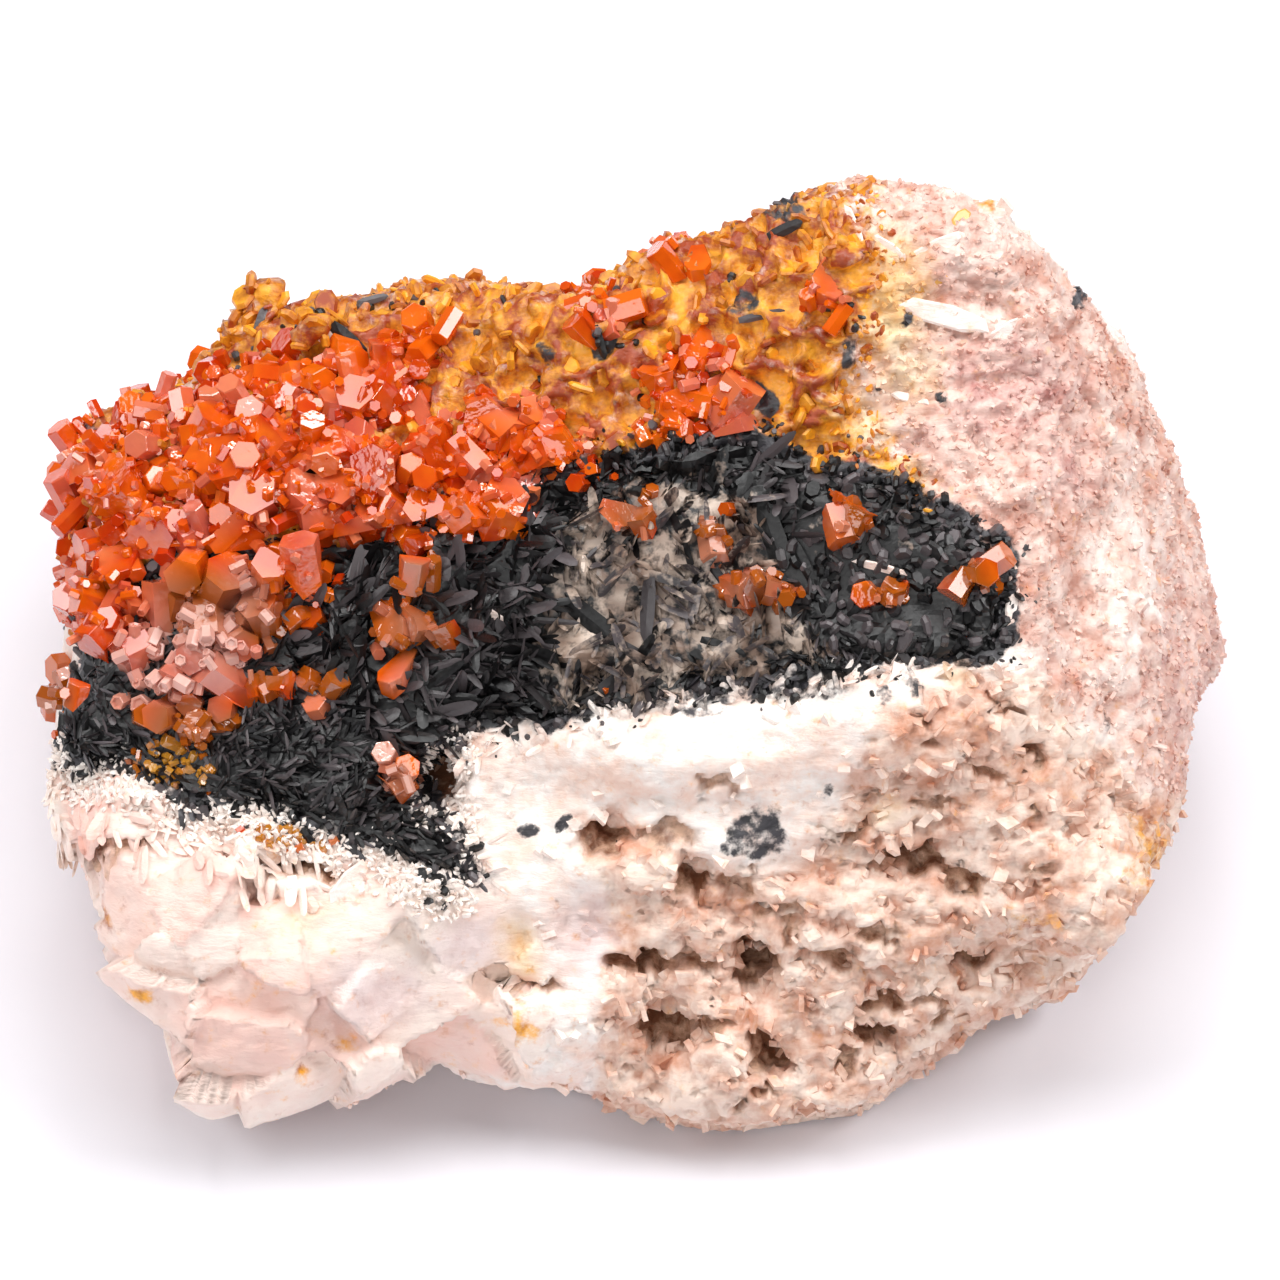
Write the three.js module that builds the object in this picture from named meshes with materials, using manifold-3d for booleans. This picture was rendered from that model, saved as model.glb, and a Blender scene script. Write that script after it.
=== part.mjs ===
// Vanadinite on matrix: red hexagonal vanadinite crystals on a lump of pale pink barite, over a crust of
// barite blades that manganese oxide has turned black.
// Millimetres, +Z up. The origin lies on the flat underside that the specimen rests on.

import * as THREE from "three";
import { mergeVertices } from "three/addons/utils/BufferGeometryUtils.js";
import { ImprovedNoise } from "three/addons/math/ImprovedNoise.js";
import Module from "manifold-3d";

const wasm = await Module();
wasm.setup();

// The lump is described as it is looked at from the front and above. Places are [right, up]: millimetres across
// the line of sight, which falls on the table at SIGHT_ANGLE. ORIGIN_BELOW is how far the origin lies below the
// middle of that view.
const SIGHT_ANGLE = THREE.MathUtils.degToRad(50);
const ORIGIN_BELOW = 12;
const RIGHT = new THREE.Vector3(1, 0, 0);
const UP = new THREE.Vector3(0, Math.sin(SIGHT_ANGLE), Math.cos(SIGHT_ANGLE));
const Z_AXIS = new THREE.Vector3(0, 0, 1);
const TOWARDS = new THREE.Vector3(0, -Math.cos(SIGHT_ANGLE), Math.sin(SIGHT_ANGLE));
const SIGHT_REACH = 60;
const SIGHT_STEP = 0.5;
const CLOSE_ENOUGH = 1e-4;

// Gap that neighbouring pieces keep.
const CLEARANCE = 0.3;

// Lump of barite: its outline across the line of sight, and the broken faces that bound it.
const ROCK_OUTLINE = [
  [-33.2, 9.8], [-31.4, 12.2], [-26.0, 14.0], [-23.9, 17.2], [-20.0, 18.4], [-14.3, 19.8], [-8.9, 20.0],
  [-4.6, 19.1], [-1.1, 19.8], [0.6, 22.0], [4.0, 22.5], [7.4, 23.6], [10.0, 25.6], [15.1, 26.3], [20.0, 25.0],
  [23.4, 21.6], [25.1, 19.1], [27.8, 18.2], [28.9, 13.4], [31.1, 9.0], [33.2, 3.4], [34.0, -0.4],
  [33.0, -3.2], [31.4, -5.0], [31.0, -9.0], [29.4, -12.6], [27.1, -16.4], [24.6, -19.8], [20.6, -21.4],
  [17.0, -23.6], [12.0, -26.9], [8.0, -28.5], [4.2, -29.0], [1.0, -27.4], [-3.4, -25.6], [-8.9, -24.6],
  [-12.0, -23.6], [-15.4, -23.8], [-16.8, -25.0], [-17.6, -26.8], [-21.4, -27.2], [-25.2, -26.6],
  [-27.2, -23.0], [-29.2, -20.0], [-31.0, -16.6], [-31.4, -14.0], [-33.6, -11.2], [-35.0, -8.0],
  [-34.2, -5.4], [-32.6, 0.6], [-32.4, 4.6],
];
const ROCK_FACES = [
  { name: "crystal slope", facing: [-0.167, -0.6, 1], through: [0, 0, 27.35] },
  { name: "crown along the back", facing: [-0.36, 0, 1], through: [0, 0, 34.5] },
  { name: "broken front", facing: [0.05, -0.87, 0.49], through: [10, -10.5, 25] },
  { name: "right flank", facing: [0.825, -0.258, 0.503], through: [25.1, 11.9, 32] },
  { name: "left end", facing: [-0.95, -0.1, 0.25], through: [-34.4, 0, 13] },
  { name: "back", facing: [0.1, 1, 0.15], through: [0, 25, 14] },
  { name: "undercut at the back", facing: [0, 0.6, -0.8], through: [0, 24, 7] },
  { name: "undercut on the right", facing: [0.7, 0, -0.7], through: [30, 0, 6] },
  { name: "undercut on the left", facing: [-0.6, 0, -0.8], through: [-31, 0, 5] },
];
const EDGE_BLEND = 2.2;

// The lump's surface is drawn from its heart outwards on an even ball of facets, stretched to the lump.
const ROCK_HEART = new THREE.Vector3(0, 1, 15);
const ROCK_STRETCH = new THREE.Vector3(1.35, 1.1, 0.9);
const ROCK_FINENESS = 8;
const BASE_BLOCK = 120;

// Bosses that stand out of those faces: place, then width, height and how far they stand out.
const BOSSES = [
  { name: "creamy cleaved mass", at: [-22.6, -16.4], size: [15, 9, 2.6] },
  { name: "foot on the left", at: [-21.8, -23.4], size: [9.5, 6, 2.2] },
  { name: "lip below the fringe", at: [-29.6, -10.6], size: [8, 4, 1.8] },
  { name: "white band", at: [1.0, -6.4], size: [17, 4.6, 1.6] },
  { name: "white band on the right", at: [13.6, -4.2], size: [14, 5, 1.7] },
  { name: "nose at the bottom", at: [5.6, -25.4], size: [11, 5, 1.8] },
  { name: "ledge over the nose", at: [13.4, -16.0], size: [13, 3.4, 1.5] },
  { name: "belly", at: [-4.8, -20.4], size: [10, 5, 1.5] },
  { name: "corner on the right", at: [23.6, -14.6], size: [8, 8, 1.8] },
  { name: "swelling of the flank", at: [27.6, -0.6], size: [9, 12, 1.5] },
  { name: "shoulder", at: [26.0, 12.6], size: [6, 8, 1.3] },
  { name: "peak", at: [16.4, 22.4], size: [11, 6, 1.3] },
  { name: "hump beside the peak", at: [8.0, 19.6], size: [8, 5, 1.1] },
  { name: "bank of the main crystals", at: [-22.0, 9.4], size: [20, 7, 1.5] },
  { name: "rim at the back", at: [-9.0, 17.6], size: [22, 3.4, 1.1] },
];
const BOSS_BLEND = 1.2;

// Roughness of the lump: [height, width] of its swells, and the ledges that step down the broken front.
const ROUGHNESS = [[0.8, 9], [0.75, 4.6]];
const LEDGE_HEIGHT = 0.6;
const LEDGE_SPACING = 6;
const LEDGES_BELOW = -8;
const LEDGES_FADE = 6;
const LEDGE_SWAY = [1.4, 11];

// Vugs in the broken front: place of the mouth, then width, height and depth.
const VUGS = [
  { at: [-12.0, -8.4], size: [2.6, 2.0, 3.4] },
  { at: [-1.6, -11.0], size: [3.2, 2.4, 2.2] },
  { at: [3.7, -8.3], size: [2.6, 0.9, 1.6] },
  { at: [3.4, -14.0], size: [3.8, 3.6, 2.8] },
  { at: [0.6, -18.6], size: [3.6, 2.2, 2.6] },
  { at: [6.6, -19.2], size: [3.2, 3.4, 3.0] },
  { at: [1.7, -22.4], size: [5.0, 5.0, 3.2] },
  { at: [7.8, -24.2], size: [2.4, 2.6, 2.6] },
  { at: [12.1, -11.8], size: [1.8, 1.2, 1.6] },
  { at: [15.2, -12.6], size: [4.6, 2.2, 2.8] },
  { at: [19.0, -14.6], size: [2.2, 1.8, 1.8] },
  { at: [11.2, -16.6], size: [3.4, 2.2, 2.2] },
  { at: [18.3, -18.8], size: [2.8, 3.0, 2.2] },
  { at: [13.8, -20.6], size: [4.0, 2.0, 2.2] },
  { at: [13.4, -22.8], size: [2.2, 2.0, 2.2] },
  { at: [22.4, -5.8], size: [1.6, 1.2, 1.4] },
  { at: [14.6, -6.6], size: [2.4, 1.4, 1.4] },
  { at: [-20.8, -13.2], size: [4.2, 2.6, 2.4] },
  { at: [-18.3, -24.6], size: [1.8, 1.8, 1.4] },
  { at: [-8.2, -20.4], size: [4.6, 1.4, 1.8] },
];
const VUG_ROUGHNESS = 0.22;

// Barite blades that stand on the back rim: length, width and thickness, then how far the blade leans away from
// the line of sight, which way it turns (0 is right, 90 is up) and how far it rolls about its length.
const RIM_BLADES = [
  { at: [-23.0, 17.0], size: [6.4, 2.2, 0.9], lean: 80, turn: 62, roll: 20 },
  { at: [-17.4, 17.4], size: [4.6, 2.0, 1.0], lean: 66, turn: 140, roll: 50 },
  { at: [20.0, 24.0], size: [3.0, 1.6, 0.9], lean: 75, turn: 50, roll: 15 },
  { at: [12.2, 20.6], size: [5.2, 1.2, 0.8], lean: 70, turn: 108, roll: 40 },
];

// Black crust: its outline across the line of sight, its height over the lump, and the blades in it.
const CRUST_OUTLINE = [
  [-33.8, -5.8], [-32.4, -1.5], [-31.6, 2.4], [-27.4, 4.2], [-18.0, 5.4], [-12.0, 6.6], [-6.0, 9.4],
  [0.0, 10.4], [6.4, 11.6], [10.0, 9.4], [14.0, 9.2], [17.4, 6.8], [20.6, 5.4], [20.8, 1.6], [20.0, -0.8],
  [13.0, -1.0], [7.4, -1.8], [1.0, -2.8], [-5.0, -4.2], [-9.4, -4.8], [-11.2, -6.4], [-13.4, -8.8],
  [-10.6, -11.0], [-9.6, -13.2], [-11.4, -13.6], [-14.4, -12.0], [-18.0, -10.4], [-22.0, -9.2],
  [-26.0, -9.0], [-29.8, -7.0], [-32.6, -7.4],
];
const CRUST_RIGHT = [-34, 21];
const CRUST_UP = [-14, 12];
const CRUST_TOP = 1.4;
const CRUST_BEHIND = 14;
const CRUST_REACH = 30;
const BLADE_COUNT = 20;
const BLADE_LENGTH = [2.8, 5.2];
const BLADE_WIDTH = [1.4, 2.4];
const BLADE_THICKNESS = [0.4, 0.7];
const BLADE_LEAN = [45, 80];
const BLADE_ROLL = [20, 90];
const BLADE_MARGIN = 1.2;
const BLADE_SUNK = 0.35;

// Leading vanadinite crystals: place, width and length, then the lean and turn of the axis.
const LEADING_CRYSTALS = [
  { at: [-28.0, 10.6], size: [3.6, 1.4], lean: 52, turn: 100 },
  { at: [-25.6, 9.2], size: [3.2, 1.3], lean: 60, turn: 85 },
  { at: [-29.6, 12.4], size: [2.3, 2.6], lean: 58, turn: 75 },
  { at: [-31.7, 9.2], size: [2.7, 2.8], lean: 48, turn: 150 },
  { at: [-16.9, 8.6], size: [3.0, 2.6], lean: 25, turn: 120 },
  { at: [-14.4, 15.7], size: [1.9, 3.0], lean: 76, turn: 95 },
  { at: [-12.8, 14.0], size: [2.2, 0.9], lean: 35, turn: 20 },
  { at: [-6.3, 12.6], size: [2.0, 2.2], lean: 40, turn: 60 },
  { at: [5.3, 13.7], size: [2.9, 2.8], lean: 66, turn: 55 },
  { at: [5.4, 11.5], size: [2.4, 2.6], lean: 62, turn: 30 },
  { at: [0.9, 14.6], size: [2.4, 2.6], lean: 55, turn: 92 },
  { at: [2.9, 15.4], size: [1.9, 2.0], lean: 35, turn: 45 },
  { at: [2.2, 20.9], size: [1.5, 4.0], lean: 78, turn: 132 },
  { at: [3.4, 20.9], size: [1.6, 1.8], lean: 50, turn: 100 },
  { at: [-29.7, 3.7], size: [2.9, 3.0], lean: 45, turn: 110 },
  { at: [-31.3, 2.4], size: [2.3, 2.4], lean: 60, turn: 170 },
  { at: [-27.4, 2.0], size: [2.0, 3.0], lean: 78, turn: 92 },
  { at: [-19.1, 4.2], size: [2.4, 3.4], lean: 62, turn: 100 },
  { at: [-12.9, 3.8], size: [1.9, 2.2], lean: 60, turn: 80 },
  { at: [-13.6, 0.3], size: [2.0, 2.0], lean: 40, turn: 150 },
  { at: [10.4, 19.6], size: [2.2, 2.2], lean: 40, turn: 60 },
  { at: [-32.2, -3.4], size: [1.5, 2.2], lean: 70, turn: 75 },
  { at: [-1.9, -3.3], size: [1.4, 1.3], lean: 55, turn: 110 },
  { at: [3.9, 7.0], size: [1.3, 2.0], lean: 66, turn: 40 },
  { at: [4.8, 5.5], size: [1.3, 2.2], lean: 70, turn: 100 },
];

// Groups of smaller crystals: middle, half width and half height of the patch, how many, their width, and how
// high they are heaped.
const CRYSTAL_GROUPS = [
  { at: [-25.7, 9.1], patch: [7.0, 3.4], count: 12, across: [2.2, 3.2], heap: 0.7 },
  { at: [-13.7, 8.6], patch: [7.2, 2.8], count: 12, across: [2.2, 3.2], heap: 0.7 },
  { at: [-18.9, 13.4], patch: [5.8, 2.4], count: 7, across: [1.8, 2.6], heap: 0.3 },
  { at: [-30.4, 2.9], patch: [1.8, 3.0], count: 3, across: [1.8, 2.6], heap: 0.2 },
  { at: [-23.1, 2.4], patch: [4.6, 2.4], count: 5, across: [2.0, 2.8], heap: 0.4 },
  { at: [-25.7, -0.7], patch: [3.4, 1.5], count: 5, across: [1.9, 2.6], heap: 0.4 },
  { at: [-25.4, -4.3], patch: [2.0, 1.2], count: 4, across: [1.5, 2.0], heap: 0.1 },
  { at: [2.9, 13.2], patch: [2.8, 2.2], count: 3, across: [1.7, 2.4], heap: 0.2 },
  { at: [-7.4, 11.2], patch: [3.2, 2.2], count: 5, across: [1.8, 2.6], heap: 0.4 },
  { at: [-12.2, 0.0], patch: [1.6, 0.9], count: 2, across: [1.6, 2.0], heap: 0.1 },
  { at: [-14.1, -2.4], patch: [0.3, 0.3], count: 1, across: [1.6, 1.7], heap: 0.1 },
  { at: [-21.5, -2.5], patch: [1.0, 0.4], count: 2, across: [1.5, 1.8], heap: 0.1 },
  { at: [-18.4, -3.0], patch: [0.8, 0.4], count: 1, across: [1.5, 1.7], heap: 0.1 },
  { at: [-13.7, -7.8], patch: [0.6, 0.5], count: 2, across: [1.4, 1.7], heap: 0.1 },
  { at: [6.8, 3.0], patch: [1.6, 0.6], count: 3, across: [1.5, 1.9], heap: 0.1 },
  { at: [-0.2, 7.0], patch: [0.5, 0.8], count: 2, across: [1.5, 1.9], heap: 0.1 },
  { at: [12.0, 6.6], patch: [0.8, 0.6], count: 2, across: [1.5, 2.0], heap: 0.1 },
  { at: [13.7, 2.8], patch: [1.1, 0.4], count: 2, across: [1.4, 1.8], heap: 0.1 },
  { at: [18.5, 3.4], patch: [0.7, 0.8], count: 2, across: [1.5, 1.9], heap: 0.1 },
  { at: [-2.4, 17.6], patch: [0.9, 0.4], count: 2, across: [1.7, 2.1], heap: 0.1 },
  { at: [-3.4, 10.4], patch: [0.6, 0.9], count: 2, across: [1.4, 1.9], heap: 0.1 },
];
const CRYSTAL_LENGTH_TO_WIDTH = [0.7, 1.3];
const CRYSTAL_LEAN = [15, 75];
const CRYSTAL_STAND = 0.24;
const FOOT_BLOCK = 12;
const FOOT_RISE = 0.65;
const SMALLEST_BODY = 0.5;
const STANDS_WITHIN = 0.8;
const DRAWS = 12;

const BARITE = new THREE.MeshStandardMaterial({ color: "#e9cfc3", roughness: 0.75 });
const BLACK_BLADES = new THREE.MeshStandardMaterial({ color: "#26252a", roughness: 0.45 });
const VANADINITE = new THREE.MeshStandardMaterial({ color: "#c8430f", roughness: 0.18 });

const noise = new ImprovedNoise();
const random = seededRandom(13);

// Small numeric helpers.

function seededRandom(seed) {
  let state = seed;
  return () => {
    state = (state + 0x6d2b79f5) | 0;
    let t = Math.imul(state ^ (state >>> 15), 1 | state);
    t = (t + Math.imul(t ^ (t >>> 7), 61 | t)) ^ t;
    return ((t ^ (t >>> 14)) >>> 0) / 4294967296;
  };
}

function between([low, high]) {
  return THREE.MathUtils.lerp(low, high, random());
}

function smoothMax(a, b, blend) {
  const near = Math.max(blend - Math.abs(a - b), 0) / blend;
  return Math.max(a, b) + (near * near * blend) / 4;
}

function vector([x, y, z]) {
  return new THREE.Vector3(x, y, z);
}

// Places across the line of sight.

function seen(point) {
  return [point.dot(RIGHT), point.dot(UP) - ORIGIN_BELOW];
}

function fromSight([right, up], towards) {
  return new THREE.Vector3()
    .addScaledVector(RIGHT, right)
    .addScaledVector(UP, up + ORIGIN_BELOW)
    .addScaledVector(TOWARDS, towards);
}

function axisAcrossSight(leanDegrees, turnDegrees) {
  const lean = THREE.MathUtils.degToRad(leanDegrees);
  const turn = THREE.MathUtils.degToRad(turnDegrees);
  return TOWARDS.clone().multiplyScalar(Math.cos(lean))
    .addScaledVector(RIGHT, Math.sin(lean) * Math.cos(turn))
    .addScaledVector(UP, Math.sin(lean) * Math.sin(turn));
}

// Distance from a place to a closed outline, negative inside it.
function outlineDistance([x, y], outline) {
  let nearest = Infinity;
  let inside = false;
  outline.forEach(([ax, ay], i) => {
    const [bx, by] = outline[(i + 1) % outline.length];
    const along = ((x - ax) * (bx - ax) + (y - ay) * (by - ay)) / ((bx - ax) ** 2 + (by - ay) ** 2);
    const t = THREE.MathUtils.clamp(along, 0, 1);
    nearest = Math.min(nearest, Math.hypot(x - ax - t * (bx - ax), y - ay - t * (by - ay)));
    if (ay > y !== by > y && x < ax + ((y - ay) * (bx - ax)) / (by - ay)) inside = !inside;
  });
  return inside ? -nearest : nearest;
}

// The lump as a field: about the distance to its surface, negative inside.

const facePlanes = ROCK_FACES.map(({ facing, through }) =>
  new THREE.Plane().setFromNormalAndCoplanarPoint(vector(facing).normalize(), vector(through)));

function swell(point, [height, width]) {
  return height * noise.noise(point.x / width, point.y / width, point.z / width);
}

function roughness(point) {
  return ROUGHNESS.reduce((sum, size) => sum + swell(point, size), 0);
}

// Ledges rise and fall evenly with height, between -1 and 1, and sway along their length.
function ledgeRelief(point) {
  const below = THREE.MathUtils.smoothstep(LEDGES_BELOW - seen(point)[1], 0, LEDGES_FADE);
  const step = point.z / LEDGE_SPACING + swell(point, LEDGE_SWAY);
  const wave = 4 * Math.abs(step - Math.floor(step) - 0.5) - 1;
  return below * LEDGE_HEIGHT * wave;
}

function brokenFaces(point) {
  const edge = outlineDistance(seen(point), ROCK_OUTLINE);
  return facePlanes.reduce((most, plane) => smoothMax(most, plane.distanceToPoint(point), EDGE_BLEND), edge);
}

// First point of a field on a line of sight.
function firstOnSight(field, place) {
  let near = SIGHT_REACH;
  while (field(fromSight(place, near)) > 0 && near > -SIGHT_REACH) near -= SIGHT_STEP;
  let far = near + SIGHT_STEP;
  while (far - near > CLOSE_ENOUGH) {
    const middle = (near + far) / 2;
    if (field(fromSight(place, middle)) > 0) far = middle;
    else near = middle;
  }
  return fromSight(place, near);
}

// The way a field's surface faces at a point.
function facingOf(field, point) {
  const slope = (way) => field(point.clone().addScaledVector(vector(way), SIGHT_STEP)) - field(point);
  return vector([slope([1, 0, 0]), slope([0, 1, 0]), slope([0, 0, 1])]).normalize();
}

// Bosses are flattened balls that lie half sunk in the broken faces.
const bosses = BOSSES.map(({ at, size: [width, height, out] }) => {
  const middle = firstOnSight(brokenFaces, at);
  const facing = facingOf(brokenFaces, middle);
  const high = UP.clone().projectOnPlane(facing).normalize();
  const wide = new THREE.Vector3().crossVectors(high, facing);
  const inside = new THREE.Matrix4()
    .makeBasis(wide.multiplyScalar(width / 2), high.multiplyScalar(height / 2), facing.multiplyScalar(out))
    .setPosition(middle)
    .invert();
  return { inside, least: Math.min(width / 2, height / 2, out) };
});

function bossDistance(point, { inside, least }) {
  return (point.clone().applyMatrix4(inside).length() - 1) * least;
}

function rockField(point) {
  const swollen = bosses.reduce((least, boss) =>
    -smoothMax(-least, -bossDistance(point, boss), BOSS_BLEND), brokenFaces(point));
  return swollen + roughness(point) + ledgeRelief(point);
}

// Solids.

function solidOf(geometry) {
  const bare = new THREE.BufferGeometry().setAttribute("position", geometry.getAttribute("position"));
  if (geometry.index) bare.setIndex(geometry.index);
  const merged = mergeVertices(bare);
  return new wasm.Manifold(new wasm.Mesh({
    numProp: 3,
    vertProperties: new Float32Array(merged.attributes.position.array),
    triVerts: new Uint32Array(merged.index.array),
  }));
}

function meshOf(name, solid, material) {
  const { vertProperties, triVerts } = solid.getMesh();
  const geometry = new THREE.BufferGeometry()
    .setAttribute("position", new THREE.BufferAttribute(new Float32Array(vertProperties), 3))
    .setIndex(new THREE.BufferAttribute(new Uint32Array(triVerts), 1));
  geometry.computeVertexNormals();
  const mesh = new THREE.Mesh(geometry, material);
  mesh.name = name;
  return mesh;
}

function largestBody(solid) {
  return solid.decompose().reduce((best, body) => (body.volume() > best.volume() ? body : best));
}

// The lump's surface, pushed out by a distance.
function rockSurface(outwards) {
  const ball = new THREE.IcosahedronGeometry(1, ROCK_FINENESS);
  const vertices = ball.getAttribute("position");
  const way = new THREE.Vector3();
  const point = new THREE.Vector3();
  for (let i = 0; i < vertices.count; i++) {
    way.fromBufferAttribute(vertices, i).multiply(ROCK_STRETCH).normalize();
    let inside = 0;
    let outside = SIGHT_REACH;
    while (outside - inside > CLOSE_ENOUGH) {
      const middle = (inside + outside) / 2;
      if (rockField(point.copy(ROCK_HEART).addScaledVector(way, middle)) < outwards) inside = middle;
      else outside = middle;
    }
    point.copy(ROCK_HEART).addScaledVector(way, inside);
    vertices.setXYZ(i, point.x, point.y, point.z);
  }
  return ball;
}

function rockSkin(outwards) {
  return solidOf(rockSurface(outwards));
}

// What crystals and blades stand on: the lump or, where it has a crust, the crust's upper face.

const bareGround = new THREE.Mesh(rockSurface(0));
const crustGround = new THREE.Mesh(rockSurface(CRUST_TOP));
const lineOfSight = new THREE.Raycaster();

function firstMet(ground, place) {
  lineOfSight.set(fromSight(place, SIGHT_REACH), TOWARDS.clone().negate());
  const [{ point, face }] = lineOfSight.intersectObject(ground);
  return { point, facing: face.normal };
}

function groundAt(place) {
  return firstMet(outlineDistance(place, CRUST_OUTLINE) < 0 ? crustGround : bareGround, place);
}

function blockBelowBase() {
  return solidOf(new THREE.BoxGeometry(BASE_BLOCK, BASE_BLOCK, BASE_BLOCK).translate(0, 0, -BASE_BLOCK / 2));
}

function vug({ at, size: [width, height, depth] }) {
  const hollow = new THREE.OctahedronGeometry(1, 1);
  const vertices = hollow.getAttribute("position");
  const point = new THREE.Vector3();
  for (let i = 0; i < vertices.count; i++) {
    point.fromBufferAttribute(vertices, i);
    const rough = 1 + VUG_ROUGHNESS * noise.noise(point.x * 2 + at[0], point.y * 2 + at[1], point.z * 2);
    vertices.setXYZ(i, point.x * rough, point.y * rough, point.z * rough);
  }
  const mouth = firstMet(bareGround, at).point;
  return solidOf(hollow.scale(width / 2, depth, height / 2).translate(mouth.x, mouth.y, mouth.z));
}

// A crystal: a six-sided prism about its axis, cut off flat where it meets the ground.
function crystalSolid({ middle, axis, across, length, spin, foot, facing }) {
  const toAxis = new THREE.Quaternion().setFromUnitVectors(Z_AXIS, axis);
  const prism = new THREE.CylinderGeometry(across / 2, across / 2, length, 6)
    .rotateX(Math.PI / 2)
    .rotateZ(spin)
    .applyQuaternion(toAxis)
    .translate(middle.x, middle.y, middle.z);
  const below = new THREE.BoxGeometry(FOOT_BLOCK, FOOT_BLOCK, FOOT_BLOCK)
    .translate(0, 0, -FOOT_BLOCK / 2)
    .applyQuaternion(new THREE.Quaternion().setFromUnitVectors(Z_AXIS, facing))
    .translate(foot.x, foot.y, foot.z);
  return solidOf(prism).subtract(solidOf(below));
}

// A blade: a thin plate with two pointed ends, one of them sunk in what carries it, grown by a margin.
function blade({ at, size: [length, width, thickness], lean, turn, roll }, margin) {
  const along = axisAcrossSight(lean, turn);
  const level = new THREE.Vector3().crossVectors(TOWARDS, along).normalize();
  const across = level.applyAxisAngle(along, THREE.MathUtils.degToRad(roll));
  const through = new THREE.Vector3().crossVectors(along, across);
  const middle = groundAt(at).point.addScaledVector(along, length * (0.5 - BLADE_SUNK));
  const frame = new THREE.Matrix4().makeBasis(
    across.multiplyScalar(width / 2 / Math.sin(Math.PI / 3) + margin),
    through.multiplyScalar(thickness + 2 * margin),
    along.multiplyScalar(length / 2 + margin),
  );
  return solidOf(new THREE.CylinderGeometry(1, 1, 1, 6).applyMatrix4(frame.setPosition(middle)));
}

function joined(solids) {
  return solids.reduce((whole, solid) => whole.add(solid));
}

// Crystals: the leading ones as listed, then the groups. Those over the crust stand on it.

function crystalAt(place, [across, length], lean, turn, heap) {
  const { point, facing } = groundAt(place);
  const foot = point.clone().addScaledVector(facing, FOOT_RISE);
  const middle = point.addScaledVector(TOWARDS, CRYSTAL_STAND * across + heap);
  const spin = random() * Math.PI;
  return { middle, axis: axisAcrossSight(lean, turn), across, length, spin, foot, facing };
}

// Of several places drawn at random, the one with the most room around it.
function roomiest(draw, taken) {
  const room = ([right, up]) => Math.min(...taken.map(([a, b]) => Math.hypot(right - a, up - b)));
  const drawn = Array.from({ length: DRAWS }, draw);
  return drawn.reduce((best, place) => (room(place) > room(best) ? place : best));
}

function groupCrystals({ at: [right, up], patch: [halfWidth, halfHeight], count, across, heap }, taken) {
  const draw = () => {
    const way = random() * 2 * Math.PI;
    const out = Math.sqrt(random());
    return [right + halfWidth * out * Math.cos(way), up + halfHeight * out * Math.sin(way)];
  };
  return Array.from({ length: count }, () => {
    const place = roomiest(draw, taken);
    taken.push(place);
    const wide = between(across);
    const size = [wide, wide * between(CRYSTAL_LENGTH_TO_WIDTH)];
    return crystalAt(place, size, between(CRYSTAL_LEAN), random() * 360, heap * random());
  });
}

// The crust's blades, wherever they keep clear of the crystals.
function crustBlades(crystalMass) {
  const blades = [];
  const taken = [[0, 0]];
  const draw = () => [between(CRUST_RIGHT), between(CRUST_UP)];
  while (blades.length < BLADE_COUNT) {
    const at = roomiest(draw, taken);
    taken.push(at);
    if (outlineDistance(at, CRUST_OUTLINE) > -BLADE_MARGIN) continue;
    const size = [between(BLADE_LENGTH), between(BLADE_WIDTH), between(BLADE_THICKNESS)];
    const one = { at, size, lean: between(BLADE_LEAN), turn: random() * 360, roll: between(BLADE_ROLL) };
    if (blade(one, CLEARANCE).intersect(crystalMass).volume() === 0) blades.push(blade(one, 0));
  }
  return blades;
}

// What lies inside the crust's outline, widened by a margin, up to a height over the lump.
function crustLayer(top, margin) {
  const outline = new THREE.Shape(CRUST_OUTLINE.map(([right, up]) => new THREE.Vector2(right, up)));
  const widened = { depth: CRUST_REACH, bevelSegments: 1, bevelThickness: 1, bevelSize: 0, bevelOffset: margin };
  const region = new THREE.ExtrudeGeometry(outline, widened);
  const place = fromSight([0, 0], CRUST_BEHIND);
  const sightFrame = new THREE.Matrix4().makeBasis(RIGHT, UP, TOWARDS).setPosition(place);
  return rockSkin(top).intersect(solidOf(region.applyMatrix4(sightFrame)));
}

// The three kinds of piece, each cut back from the one it grew on.

const matrix = largestBody(joined([rockSkin(0), ...RIM_BLADES.map((one) => blade(one, 0))])
  .subtract(joined(VUGS.map(vug)))
  .subtract(blockBelowBase()));
const clearOfMatrix = joined([rockSkin(CLEARANCE), ...RIM_BLADES.map((one) => blade(one, CLEARANCE))]);
const clearOfCrust = crustLayer(CRUST_TOP + CLEARANCE, CLEARANCE);
const closeToGround = rockSkin(STANDS_WITHIN).add(crustLayer(CRUST_TOP + STANDS_WITHIN, 0));

const crystalPlaces = LEADING_CRYSTALS.map(({ at }) => at);
const crystals = [
  ...LEADING_CRYSTALS.map(({ at, size, lean, turn }) => crystalAt(at, size, lean, turn, 0)),
  ...CRYSTAL_GROUPS.flatMap((group) => groupCrystals(group, crystalPlaces)),
];
const crystalBodies = joined(crystals.map(crystalSolid))
  .subtract(clearOfMatrix)
  .subtract(clearOfCrust)
  .decompose()
  .filter((body) => body.volume() > SMALLEST_BODY)
  .filter((body) => body.intersect(closeToGround).volume() > 0)
  .sort((a, b) => b.volume() - a.volume());

const crust = largestBody(joined([crustLayer(CRUST_TOP, 0), ...crustBlades(joined(crystalBodies))])
  .subtract(clearOfMatrix));

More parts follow.
